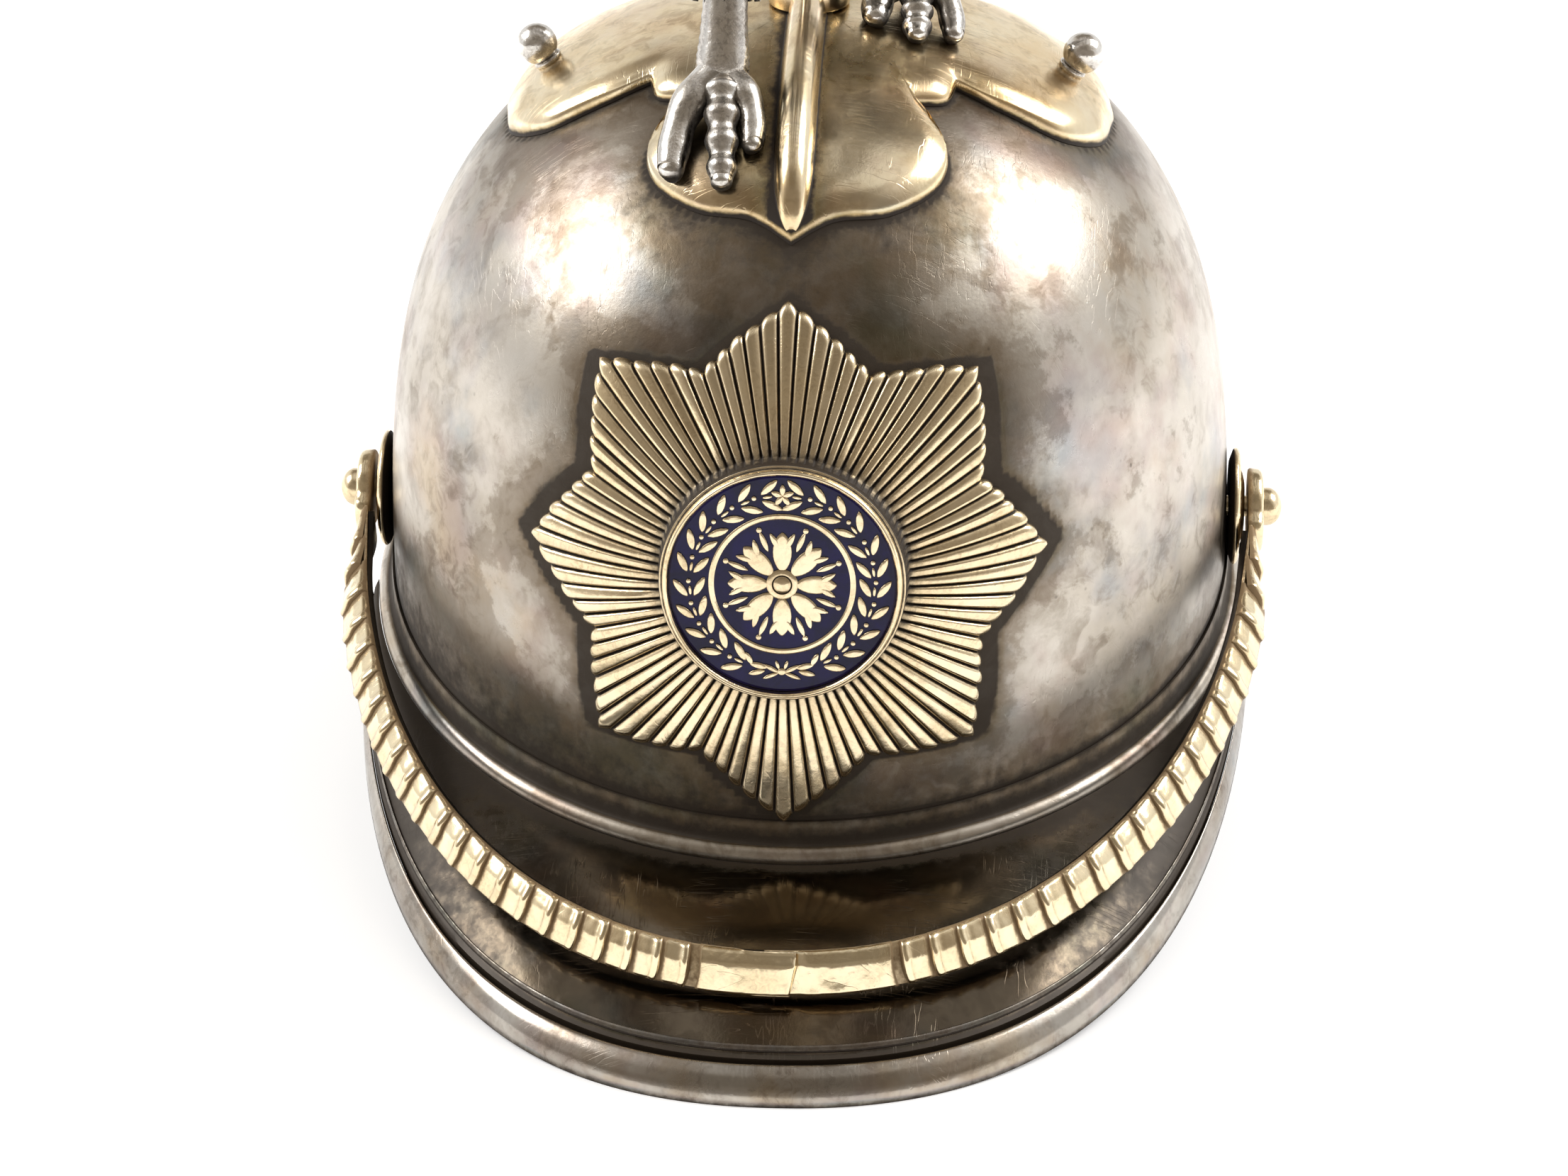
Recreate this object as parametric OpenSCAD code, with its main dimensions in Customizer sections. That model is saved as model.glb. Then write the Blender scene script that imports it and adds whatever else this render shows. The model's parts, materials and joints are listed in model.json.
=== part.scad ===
// Silversmith's miniature of a parade cavalry helmet: domed bowl with front peak and laminated
// neck guard, rayed star badge, a bow of chin scales hung on two side rivets, and an eagle crest.
// Front is towards -Y, up is +Z, the origin is on the table under the middle of the helmet.

/* [Bowl] */
// Outside width of the bowl at its base
bowl_width = 64; // [60:0.5:68]
// Outside depth of the bowl at its base
bowl_depth = 70; // [66:0.5:74]
// Height of the dome over its straight wall
dome_height = 45.2; // [42:0.2:48]
// Height above the table at which the wall starts to curve in
wall_top = 14; // [12:0.5:16]
// Thickness of the bowl's wall
bowl_wall = 1; // [0.8:0.05:1.3]

/* [Base moulding] */
// Height of the base line above the table at the ears
base_height = 14.2; // [13:0.2:15.4]
// Rise of the base line for each millimetre towards the back
base_slope = 0.16; // [0.12:0.01:0.19]
// Radius of the half round bead along the base line
bead_radius = 0.95; // [0.8:0.05:1.1]
// Height of the cove above the bead
cove_height = 1.8; // [1.2:0.1:2.4]

/* [Peak and neck guard] */
// Reach of the peak in front of the bowl, and of the neck guard behind it
peak_reach = 20.1; // [18:0.1:22]
// Distance of the brim's edges at the ears from the bowl's sides
brim_side = 2; // [1.9:0.1:3]
// Thickness of the peak's plate
peak_wall = 0.8; // [0.6:0.05:1]
// Height that the peak swells above a straight slope
peak_swell = 0.9; // [0.4:0.1:1.4]
// Width of the half round border of the brims
border_width = 2.3; // [1.9:0.1:2.7]
// Height of the border of the brims
border_height = 1.9; // [1.6:0.1:2.2]
// Thickness of one lame of the neck guard
lame_wall = 0.65; // [0.5:0.05:0.8]

/* [Star badge] */
// Height of the star's centre above the table
star_height = 30.7; // [29:0.1:32.5]
// Reach of a star point from the centre, along the bowl
star_reach = 19.2; // [17.5:0.1:20.5]
// Reach of a valley between two points, as a share of the points' reach
star_valley = 0.795; // [0.74:0.005:0.86]
// Rays in each of the star's points
rays_per_point = 11; // [7:2:13]
// Radius of the seat of the enamelled centre
seat_radius = 9.4; // [8.6:0.1:10]
// Height of that seat above the bowl
seat_height = 1.4; // [1:0.1:1.8]
// Width of the gilt ring round the enamel
bezel_width = 0.85; // [0.6:0.05:1.1]
// Radius of the thin inner ring
inner_ring_radius = 5.2; // [4.6:0.1:5.8]

/* [Crest] */
// Thickness of the crest plate on the crown
crest_wall = 1.2; // [0.9:0.05:1.5]
// Reach of the front and back tips of the crest plate
crest_reach = 24.4; // [23:0.2:25.4]
// Half the spread of the crest plate's side lobes
crest_spread = 22.5; // [21.5:0.1:23.3]
// Height of the fin over the crest plate
fin_height = 2.3; // [1.8:0.1:2.8]
// Width of the fin at its foot
fin_width = 3; // [2.4:0.1:3.6]
// Diameter of the balls on the side lobes
ball_size = 3.4; // [2.8:0.1:4]
// Diameter of the stud that holds the eagle
stud_size = 2.2; // [1.8:0.1:2.6]

/* [Chin scales] */
// Height of the side rivets above the table
pivot_height = 20.6; // [20:0.1:21.6]
// Distance between the front of the bow of chin scales and the peak's edge, both from the middle
bow_inset = 6.7; // [6.1:0.1:7.5]
// Distance of the bow from the bowl's sides
bow_side = 1.4; // [1.2:0.1:2.2]
// Width of the chin scales
scale_width = 3.2; // [2.7:0.1:3.5]
// Scales on each side
scale_count = 21; // [17:1:23]
// Thickness of one scale
scale_wall = 0.35; // [0.25:0.05:0.45]
// Thickness of the backing under the scales
backing_wall = 0.5; // [0.4:0.05:0.7]
// Diameter of the rosettes behind the bow's ends
rosette_size = 9; // [8.2:0.1:9.6]
// Diameter of the rivets' shanks
rivet_size = 1.6; // [1.3:0.1:1.9]
// Diameter of the rivets' heads
rivet_head_size = 2.9; // [2.5:0.1:3.4]

/* [Eagle] */
// Height of the eagle from the crest plate to the top of its crown
eagle_height = 55; // [50:0.5:60]
// Half the spread of the eagle's wings
wing_spread = 29; // [26:0.5:31]
// Long feathers in each wing
wing_feathers = 8; // [6:1:9]

/* [Hidden] */

half_w = bowl_width / 2;
half_d = bowl_depth / 2;
brim_reach = half_d + peak_reach;
brim_half_width = half_w + brim_side;
bow_reach = brim_reach - bow_inset;
bow_half_width = half_w + bow_side;
side_power = 2.22;
crown_power = 3.1;
fit = 0.05;
running_fit = 0.05;
rest_gap = 0.4;
turns = 48;
step_turn = 360 / turns;

silver = [0.72, 0.69, 0.65];
gilt = [0.86, 0.76, 0.52];
dark_steel = [0.16, 0.13, 0.12];
navy = [0.05, 0.07, 0.16];

// Small helpers
function mix(a, b, f) = a + (b - a) * f;
function unit(v) = v / norm(v);
function bent(c, p) = sign(c) * pow(abs(c), p);
function quad(a, b, c, d) = [[a, b, c], [a, c, d]];
function wound(faces, back) = back ? [for (f = faces) [f[2], f[1], f[0]]] : faces;
function middle(loop) = [for (k = [0:2]) let(v = [for (p = loop) p[k]]) total(v, len(v)) / len(v)];
function total(v, n) = n == 0 ? 0 : v[n - 1] + total(v, n - 1);

// Running length along a list of points, paired with a value for lookup()
function lengths(points, values) =
    let(sums = [for (k = 0, s = 0; k < len(points);
        s = s + (k + 1 < len(points) ? norm(points[k + 1] - points[k]) : 0), k = k + 1) s])
    [for (k = [0:len(points) - 1]) [sums[k], values[k]]];

// Smooth curve through a run of control points
function curve(run, steps) = [for (k = [0:len(run) - 2], s = [0:steps - 1])
    let(f = s / steps, b = run[k], c = run[k + 1],
        a = k > 0 ? run[k - 1] : 2 * b - c,
        d = k + 2 < len(run) ? run[k + 2] : 2 * c - b)
    0.5 * (2 * b + (c - a) * f + (2 * a - 5 * b + 4 * c - d) * f * f
        + (3 * b - a - 3 * c + d) * f * f * f)];

// The dome: its width share at a height, its points, its height over a plan point, its normal
function dome_rise(z, grow) = max(0, min(1, (z - wall_top) / (dome_height + grow)));
function dome_share(z, grow = 0) = pow(1 - pow(dome_rise(z, grow), crown_power), 1 / side_power);
function dome_point(turn, z, grow = 0) = [
    (half_w + grow) * dome_share(z, grow) * cos(turn),
    (half_d + grow) * dome_share(z, grow) * sin(turn), z];
function dome_over(x, y, grow = 0) =
    let(share = norm([x / (half_w + grow), y / (half_d + grow)]))
    wall_top + (dome_height + grow) * pow(max(0, 1 - pow(share, side_power)), 1 / crown_power);
function dome_normal(turn, z) =
    let(p = dome_point(turn, z), k = side_power * pow(dome_share(z), side_power - 2))
    unit([k * p[0] / pow(half_w, 2), k * p[1] / pow(half_d, 2),
        crown_power * pow(dome_rise(z, 0), crown_power - 1) / dome_height]);
function base_line(y) = base_height + base_slope * y;
apex = wall_top + dome_height;

// Solid between two grids of points
module slab(top, under) {
    m = len(top);
    n = len(top[0]);
    u = m * n;
    e = u - n;
    j0 = floor(m / 2) - 1;
    i0 = floor(n / 2) - 1;
    a = top[j0][i0];
    lift = cross(top[j0][i0 + 1] - a, top[j0 + 1][i0] - a) * (a - under[j0][i0]);
    faces = concat(
        [for (j = [0:m - 2], i = [0:n - 2])
            each quad(j * n + i, j * n + i + 1, (j + 1) * n + i + 1, (j + 1) * n + i)],
        [for (j = [0:m - 2], i = [0:n - 2])
            each quad(u + j * n + i, u + (j + 1) * n + i,
                u + (j + 1) * n + i + 1, u + j * n + i + 1)],
        [for (i = [0:n - 2]) each quad(i + 1, i, u + i, u + i + 1)],
        [for (i = [0:n - 2]) each quad(e + i, e + i + 1, u + e + i + 1, u + e + i)],
        [for (j = [0:m - 2]) each quad(j * n, (j + 1) * n, u + (j + 1) * n, u + j * n)],
        [for (j = [0:m - 2]) let(r = n - 1)
            each quad((j + 1) * n + r, j * n + r, u + j * n + r, u + (j + 1) * n + r)]);
    polyhedron(concat([for (r = top) each r], [for (r = under) each r]), wound(faces, lift > 0));
}

// Solid along a row of equal convex loops, closed to a ring or with flat ends
module sweep(loops, ring = false) {
    m = len(loops);
    n = len(loops[0]);
    c = middle(loops[0]);
    spin = cross(loops[0][0] - c, loops[0][1] - c) * (middle(loops[1]) - c);
    last = ring ? m - 1 : m - 2;
    sides = [for (j = [0:last], i = [0:n - 1])
        let(k = (j + 1) % m, h = (i + 1) % n) each quad(j * n + i, j * n + h, k * n + h, k * n + i)];
    ends = ring ? [] : concat([for (i = [1:n - 2]) [0, i + 1, i]],
        [for (i = [1:n - 2]) [(m - 1) * n, (m - 1) * n + i, (m - 1) * n + i + 1]]);
    polyhedron([for (s = loops) each s], wound(concat(sides, ends), spin > 0));
}

// Closed cap: rings from the edge to a pole, outside and inside
module cap(outer, outer_pole, inner, inner_pole) {
    n = len(outer[0]);
    a = len(outer) * n;
    b = a + 1;
    q = b + len(inner) * n;
    last = (len(outer) - 1) * n;
    low = b + (len(inner) - 1) * n;
    tip = outer[len(outer) - 1];
    lift = cross(tip[1] - tip[0], outer_pole - tip[0]) * (outer_pole - inner_pole);
    faces = concat(
        [for (j = [0:len(outer) - 2], i = [0:n - 1]) let(h = (i + 1) % n)
            each quad(j * n + i, j * n + h, (j + 1) * n + h, (j + 1) * n + i)],
        [for (i = [0:n - 1]) [last + i, last + (i + 1) % n, a]],
        len(inner) < 2 ? [] : [for (j = [0:len(inner) - 2], i = [0:n - 1]) let(h = (i + 1) % n)
            each quad(b + j * n + h, b + j * n + i, b + (j + 1) * n + i, b + (j + 1) * n + h)],
        [for (i = [0:n - 1]) [low + (i + 1) % n, low + i, q]],
        [for (i = [0:n - 1]) let(h = (i + 1) % n) each quad(h, i, b + i, b + h)]);
    polyhedron(concat([for (r = outer) each r], [outer_pole], [for (r = inner) each r], [inner_pole]),
        wound(faces, lift > 0));
}

// Turns a shape drawn round Z so that its axis runs along X at the side rivets
pivot_y = -1;
module at_pivot(side) {
    translate([0, pivot_y, pivot_height]) mirror([side < 0 ? 1 : 0, 0, 0])
        rotate([0, 90, 0]) children();
}

// Bowl
bowl_rows = 10;
inner_rows = 6;
bowl_foot = bead_radius;
function bowl_ring(f, grow) = [for (k = [0:turns - 1]) let(turn = k * step_turn,
    foot = base_line(half_d * sin(turn)) - bowl_foot,
    z = mix(foot, apex + grow, pow(sin(90 * pow(f, 1.4)), 2 / crown_power))) dome_point(turn, z, grow)];
module bowl() {
    color(silver) difference() {
        cap([for (k = [0:bowl_rows - 1]) bowl_ring(k / bowl_rows, 0)], [0, 0, apex],
            [for (k = [0:inner_rows - 1]) bowl_ring(k / inner_rows, -bowl_wall)],
            [0, 0, apex - bowl_wall]);
        for (side = [-1, 1])
            at_pivot(side) translate([0, 0, half_w - 3 * bowl_wall])
                cylinder(r = rivet_size / 2 + fit, h = 6 * bowl_wall, $fn = 32);
        translate([0, 0, apex - 3 * bowl_wall])
            cylinder(r = stud_size / 2 + fit, h = 6 * bowl_wall, $fn = 32);
    }
}

// Bead along the base line, with its cove
bead_centre = 0.35;
bead_out = bead_centre + bead_radius;
bead_profile = concat(
    [[fit, -bead_radius]],
    [for (a = [-90:36:54]) [bead_centre + bead_radius * cos(a), bead_radius * sin(a)]],
    [[fit + 0.3, bead_radius + 0.3 * cove_height], [fit + 0.12, bead_radius + 0.62 * cove_height],
        [fit, bead_radius + cove_height]]);
function base_loop(turn, profile) = let(
    foot = [half_w * cos(turn), half_d * sin(turn)],
    out = unit([cos(turn) / half_w, sin(turn) / half_d]))
    [for (p = profile) [foot[0] + out[0] * p[0], foot[1] + out[1] * p[0], base_line(foot[1]) + p[1]]];
module base_bead() {
    color(silver) sweep([for (k = [0:turns - 1]) base_loop(k * step_turn, bead_profile)], true);
}

// Brims: the line where a brim leaves the bead, and the line of its outer edge
brim_power = 2.22;
peak_fall = 1.6;
neck_fall = 1.15;
brim_drop = 0.35;
rest_run = 1.6;
brim_end = 5;
border_foot = border_height / 2;
function brim_edge_z(y, fall) = border_foot + (base_height - brim_drop - border_foot)
    * pow(max(0, (brim_reach - rest_run - abs(y)) / (brim_reach - rest_run)), fall);
function brim_root(turn) = let(
    foot = [half_w * cos(turn), half_d * sin(turn)],
    out = unit([cos(turn) / half_w, sin(turn) / half_d]),
    p = foot + out * (bead_out + fit)) [p[0], p[1], base_line(p[1]) - brim_drop];
function brim_edge(turn, fall) = let(
    x = brim_half_width * bent(cos(turn), 2 / brim_power),
    y = brim_reach * bent(sin(turn), 2 / brim_power)) [x, y, brim_edge_z(y, fall)];
function brim_width(turn, fall) = norm(brim_edge(turn, fall) - brim_root(turn));
function border_share(turn, fall) = min(border_width / brim_width(turn, fall), 0.8);
function brim_point(turn, f, fall, swell) = let(a = brim_root(turn), b = brim_edge(turn, fall))
    mix(a, b, f) + [0, 0, swell * 4 * f * (1 - f) * min(1, norm(b - a) / border_width / 4)];
neck_turns = concat([brim_end], [for (k = [1:turns / 2 - 1]) k * step_turn], [180 - brim_end]);
peak_turns = [for (turn = neck_turns) -turn];

// Peak: its plate runs from the bead to the border
peak_rows = 3;
function peak_grid(lift) = [for (turn = peak_turns) [for (k = [0:peak_rows])
    let(last = 1 - border_share(turn, peak_fall) - fit / brim_width(turn, peak_fall))
    brim_point(turn, last * k / peak_rows, peak_fall, peak_swell) + [0, 0, lift]]];
module peak() {
    color(dark_steel) slab(peak_grid(peak_wall / 2), peak_grid(-peak_wall / 2));
}

// Border: level under, so that the helmet stands on it, with a face that rises to a ridge and falls inwards
border_profile = [[0, -0.22], [0.08, 0.12], [0.36, 0.38], [0.66, 0.5], [0.84, 0.4], [0.94, 0.05], [1, -0.22]];
function border_loop(turn, fall) = let(
    share = border_share(turn, fall),
    a = brim_point(turn, 1 - share, fall, 0),
    b = brim_edge(turn, fall))
    concat([for (p = border_profile) mix(b, a, p[0]) + [0, 0, border_height * p[1]]],
        [[a[0], a[1], b[2] - border_foot], b + [0, 0, -border_foot]]);
module peak_border() {
    color(silver) sweep([for (turn = peak_turns) border_loop(turn, peak_fall)]);
}

// Thin raised line that follows the border on the peak
line_width = 0.5;
line_inset = 0.55;
line_profile = [[0, 0], [0.3, line_width / 2], [0.7, line_width / 2], [1, 0]];
function line_loop(turn) = let(
    wide = brim_width(turn, peak_fall),
    last = 1 - border_share(turn, peak_fall) - line_inset / wide,
    first = last - line_width / wide)
    [for (q = line_profile) brim_point(turn, mix(first, last, q[0]), peak_fall, peak_swell)
        + [0, 0, peak_wall / 2 + fit + q[1]]];
line_turns = [for (turn = peak_turns) if (brim_width(turn, peak_fall) > 2.2 * border_width) turn];
module peak_inner_line() {
    color(silver) sweep([for (turn = line_turns) line_loop(turn)]);
}

// Neck guard: three lames that overlap like roof tiles, and a border
lame_gap = 0.06;
lame_lap = 0.07;
neck_hollow = -1.6;
function lame_from(i) = i == 0 ? 0 : i / 3 - lame_lap;
function lame_scale(turn) = min(1, brim_width(turn, neck_fall) / 9);
lame_rise = (lame_wall + lame_gap) / (1 - 3 * lame_lap);
lame_turns = [for (turn = neck_turns) if (brim_width(turn, neck_fall) > 2.2 * border_width) turn];
function lame_grid(i, wall) = [for (turn = lame_turns) [for (k = [0:2]) let(
    last = 1 - border_share(turn, neck_fall) - 2 * fit / brim_width(turn, neck_fall),
    f = mix(lame_from(i), (i + 1) / 3, k / 2),
    tilt = i == 2 ? 0 : k / 2)
    brim_point(turn, f * last, neck_fall, neck_hollow)
        + [0, 0, (wall + lame_rise * tilt) * lame_scale(turn)]]];
module neck_lame(i) {
    color(dark_steel) slab(lame_grid(i, lame_wall), lame_grid(i, 0));
}
module neck_lame_upper() {
    neck_lame(0);
}
module neck_lame_middle() {
    neck_lame(1);
}
module neck_lame_lower() {
    neck_lame(2);
}
module neck_border() {
    color(silver) sweep([for (turn = neck_turns) border_loop(turn, neck_fall)]);
}

// Outline of one quarter of the crest plate: tip, lobe, notch, small step, notch, side lobe
crest_lobe = [[0, -1], [0.13, -0.935], [0.3, -0.89], [0.44, -0.78], [0.47, -0.65], [0.36, -0.485]];
crest_step = [[0.36, -0.485], [0.46, -0.44], [0.49, -0.35]];
crest_side = [[0.49, -0.35], [0.64, -0.375], [0.83, -0.35], [0.96, -0.21], [1, 0]];
function crest_scaled(run) = [for (p = run) [p[0] * crest_spread, p[1] * crest_reach]];
crest_quarter = concat(curve(crest_scaled(crest_lobe), 2), curve(crest_scaled(crest_step), 2),
    curve(crest_scaled(crest_side), 2));
quarter_points = len(crest_quarter);
crest_back = concat([[crest_spread, 0]],
    [for (k = [1:quarter_points - 1]) let(p = crest_quarter[quarter_points - k]) [p[0], -p[1]]]);
crest_outline = concat(crest_quarter, crest_back,
    [for (p = crest_quarter) -p], [for (p = crest_back) -p]);
function crest_ring(share, lift, tuck = 0) = [for (p = crest_outline)
    let(q = p * (share - tuck / norm(p))) [q[0], q[1], dome_over(q[0], q[1], lift)]];
crest_top = fit + crest_wall;
crest_hollow = 0.5;
crest_round = 0.5;
module crest_plate() {
    color(gilt) difference() {
        cap([crest_ring(1, fit), crest_ring(1, crest_top * 0.55),
                crest_ring(1, crest_top * 0.85, crest_round / 3), crest_ring(1, crest_top, crest_round * 2),
                crest_ring(0.66, crest_top), crest_ring(0.33, crest_top)], [0, 0, apex + crest_top],
            [crest_ring(0.999, fit), crest_ring(0.8, crest_hollow * 0.75), crest_ring(0.45, crest_hollow)],
            [0, 0, apex + crest_hollow]);
        translate([0, 0, apex - crest_wall])
            cylinder(r = stud_size / 2 + fit, h = 3 * crest_wall, $fn = 32);
        for (side = [-1, 1]) translate([side * ball_place, 0, ball_foot - 4 * crest_wall])
            cylinder(r = ball_stem + fit, h = 8 * crest_wall, $fn = 32);
    }
}

// Fin along the middle of the crest plate
boss_radius = 3;
fin_steps = 12;
fin_side = [[0.5, 0], [0.37, 0.15], [0.29, 0.45], [0.24, 0.8], [0.12, 0.96]];
fin_profile = concat([[0, 1]], [for (k = [4:-1:0]) fin_side[k]], [for (p = fin_side) [-p[0], p[1]]]);
function fin_loop(f) = let(
    y = mix(-crest_reach + 1.1, -boss_radius - fit, f),
    rise = sin(90 * min(1, f * 5 + 0.12)), wide = fin_width * (0.45 + 0.55 * min(1, f * 5)))
    [for (p = fin_profile) let(x = wide * p[0]) [x, y - (1 - f) * 0.5 * p[1],
        dome_over(x, y, crest_top + 0.12) + fin_height * rise * p[1]]];
module fin() {
    color(gilt) sweep([for (k = [0:fin_steps]) fin_loop(pow(k / fin_steps, 1.4))]);
}
module crest_fin_front() {
    fin();
}
module crest_fin_back() {
    mirror([0, 1, 0]) fin();
}

// Round boss in the middle of the crest plate, under the eagle
boss_foot = apex + crest_top + fit;
boss_height = fin_height;
boss_top = boss_foot + boss_height;
module crest_boss() {
    color(gilt) translate([0, 0, boss_foot]) rotate_extrude($fn = 64) polygon([
        [stud_size / 2 + fit, 0], [boss_radius, 0], [boss_radius, boss_height * 0.6],
        [boss_radius - 0.5, boss_height * 0.7], [boss_radius - 0.5, boss_height * 0.85],
        [boss_radius - 0.8, boss_height], [stud_size / 2 + fit, boss_height]]);
}

// Balls on the side lobes, each on a collar, with a stem through the plate
ball_place = crest_spread * 0.86;
ball_stem = 0.55;
ball_foot = dome_over(ball_place, 0, crest_top) + 0.2;
module ball_studs() {
    lean = 34;
    for (side = [-1, 1])
        color(silver) translate([side * ball_place, 0, ball_foot]) {
            rotate([0, side * lean, 0]) {
                cylinder(r1 = ball_size * 0.32, r2 = ball_size * 0.24, h = 0.6, $fn = 48);
                translate([0, 0, ball_size * 0.48]) sphere(d = ball_size, $fn = 64);
            }
            translate([0, 0, -crest_wall]) cylinder(r = ball_stem, h = crest_wall + 0.3, $fn = 32);
        }
}

// Star: points on the bowl's front, given by run across and up from its centre
meridian = [for (e = [0:2:80]) let(z = wall_top + dome_height * pow(sin(e), 2 / crown_power))
    [half_d * dome_share(z), z]];
rise_by_run = lengths(meridian, [for (p = meridian) p[1]]);
run_by_rise = [for (p = rise_by_run) [p[1], p[0]]];
star_run = lookup(star_height, run_by_rise);
function front_z(run) = run < 0 ? wall_top + run : lookup(run, rise_by_run);
function star_point(across, up, lift) = let(
    z = front_z(star_run + up),
    turn = -90 + across / (half_w * dome_share(z)) * 180 / PI)
    dome_point(turn, z) + lift * dome_normal(turn, z);
star_centre = dome_point(-90, star_height);
star_normal = dome_normal(-90, star_height);
star_lean = asin(star_normal[2]);
module on_star(lift) {
    translate(star_centre + lift * star_normal) rotate([90 - star_lean, 0, 0]) children();
}
star_clear = 0.4;
star_edge = 1;
ray_depth = 0.3;
star_rays = 8 * rays_per_point;
function star_radius(a) = let(f = abs(((a + 720) / 45 + 0.5) % 1 - 0.5) * 2)
    star_reach / ((1 - f) + f / star_valley);
function star_ring(share, lift, groove, notch) = [for (k = [0:2 * star_rays - 1]) let(
    a = k * 180 / star_rays, low = k % 2,
    r = mix(seat_radius, star_radius(a - 90) - low * notch, share))
    star_point(r * cos(a), r * sin(a), lift - low * groove)];
function seat_ring(r) = [for (k = [0:2 * star_rays - 1]) let(a = k * 180 / star_rays)
    star_centre + star_normal * seat_height
        + [r * cos(a), r * sin(a) * sin(star_lean), r * sin(a) * cos(star_lean)]];
module star() {
    back = [for (k = [0:2 * star_rays - 1]) let(a = k * 180 / star_rays)
        star_point(seat_radius * cos(a), seat_radius * sin(a), star_clear)];
    color(gilt) cap([star_ring(1, star_edge, ray_depth, 0.45), star_ring(0.5, star_edge + 0.25, ray_depth, 0),
            star_ring(0, star_edge + 0.3, ray_depth, 0), seat_ring(seat_radius)],
        star_centre + star_normal * seat_height,
        [star_ring(1, star_clear, 0, 0.45), back], star_centre + star_normal * star_clear);
}

// Enamelled centre of the badge
bezel_outer = seat_radius - 0.3;
bezel_height = 1.2;
enamel_radius = bezel_outer - bezel_width;
enamel_height = 0.7;
module badge_bezel() {
    color(gilt) on_star(seat_height + fit) rotate_extrude($fn = 96) polygon([
        [enamel_radius + fit, 0], [bezel_outer, 0], [bezel_outer, bezel_height * 0.4],
        [bezel_outer - bezel_width * 0.12, bezel_height * 0.5],
        [bezel_outer - bezel_width * 0.36, bezel_height * 0.53],
        [bezel_outer - bezel_width * 0.42, bezel_height * 0.82],
        [bezel_outer - bezel_width * 0.6, bezel_height],
        [bezel_outer - bezel_width * 0.85, bezel_height * 0.85],
        [enamel_radius + fit, bezel_height * 0.6]]);
}
module badge_enamel() {
    color(navy) on_star(seat_height + fit) cylinder(r = enamel_radius, h = enamel_height, $fn = 96);
}
ornament_lift = seat_height + fit + enamel_height;
module badge_inner_ring() {
    color(gilt) on_star(ornament_lift) rotate_extrude($fn = 96) polygon([
        [inner_ring_radius - 0.25, 0], [inner_ring_radius + 0.25, 0],
        [inner_ring_radius + 0.15, 0.3], [inner_ring_radius - 0.15, 0.3]]);
}
pellet_count = 24;
pellet_row = (inner_ring_radius + enamel_radius) / 2;
module badge_pellets() {
    color(gilt) on_star(ornament_lift) for (k = [0:pellet_count - 1])
        rotate(k * 360 / pellet_count) translate([pellet_row, 0, 0])
            cylinder(r1 = 0.5, r2 = 0.28, h = 0.35, $fn = 24);
}
petal_count = 8;
petal_side = [[1, 0.25], [2.2, 0.75], [3.3, 0.45]];
module badge_flower() {
    color(gilt) on_star(ornament_lift) {
        cylinder(r1 = 1.3, r2 = 0.8, h = 0.6, $fn = 48);
        for (k = [0:petal_count - 1])
            rotate(k * 360 / petal_count) linear_extrude(height = 0.35)
                polygon(concat([for (p = petal_side) [p[0], -p[1]]], [[3.8, 0]],
                    [for (k = [2:-1:0]) petal_side[k]]));
    }
}

// Rosettes, rivets and the bow's ends, stacked outwards along the rivets
rosette_back = half_w + fit;
rosette_depth = 1.2;
end_gap = 0.25;
end_back = rosette_back + rosette_depth + end_gap;
end_depth = 1.2;
head_back = end_back + end_depth + end_gap;
head_depth = 1.2;
rivet_hole = rivet_size / 2 + running_fit;
module rosette(side) {
    color(gilt) at_pivot(side) translate([0, 0, rosette_back]) rotate_extrude($fn = 96) polygon([
        [rivet_size / 2 + fit, 0], [rosette_size / 2 - 1, 0],
        [rosette_size / 2 - 0.15, 0.3], [rosette_size / 2, 0.5],
        [rosette_size / 2 - 0.15, 0.7], [rosette_size * 0.4, 0.9], [rosette_size * 0.3, 1.05],
        [rosette_size * 0.2, rosette_depth], [rivet_size / 2 + fit, rosette_depth]]);
}
module rosette_left() {
    rosette(-1);
}
module rosette_right() {
    rosette(1);
}
module rivet(side) {
    foot = half_w - bowl_wall - 0.9;
    head = rivet_head_size / 2;
    color(gilt) at_pivot(side) rotate_extrude($fn = 64) polygon([
        [0, foot], [head, foot], [head, foot + 0.6], [rivet_size / 2, foot + 0.6],
        [rivet_size / 2, head_back], [head, head_back], [head, head_back + head_depth * 0.35],
        [head * 0.86, head_back + head_depth * 0.7], [head * 0.5, head_back + head_depth * 0.95],
        [0, head_back + head_depth]]);
}
module rivet_left() {
    rivet(-1);
}
module rivet_right() {
    rivet(1);
}

// The bow's plane: it swings on the rivets and rests just over the peak. Past its ends the bow leans
// outwards about its upper edge, so that its face looks up
scale_half = scale_width / 2;
scales_from = 4.4;
bow_lean = 34;
lean_run = 13;
bow_stations = 40;
bow_power = 2.12;
flare = end_back + backing_wall - bow_half_width;
flare_run = 10;
function peak_top_z(y) = let(a = brim_root(-90), b = brim_edge(-90, peak_fall))
    brim_point(-90, (y - a[1]) / (b[1] - a[1]), peak_fall, peak_swell)[2] + peak_wall / 2;
foot_run = bow_reach + scale_width * sin(bow_lean) - backing_wall * cos(bow_lean);
foot_drop = scale_width * cos(bow_lean) + backing_wall * sin(bow_lean) - scale_half;
function foot_y(tilt) = pivot_y - foot_run * cos(tilt) + foot_drop * sin(tilt);
function settled(tilt, rounds) = rounds == 0 ? tilt : settled(
    asin((pivot_height - foot_drop * cos(tilt) - rest_gap - peak_top_z(foot_y(tilt))) / foot_run),
    rounds - 1);
bow_tilt = settled(18, 12);
bow_ahead = [0, -cos(bow_tilt), -sin(bow_tilt)];
bow_up = [0, -sin(bow_tilt), cos(bow_tilt)];
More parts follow.
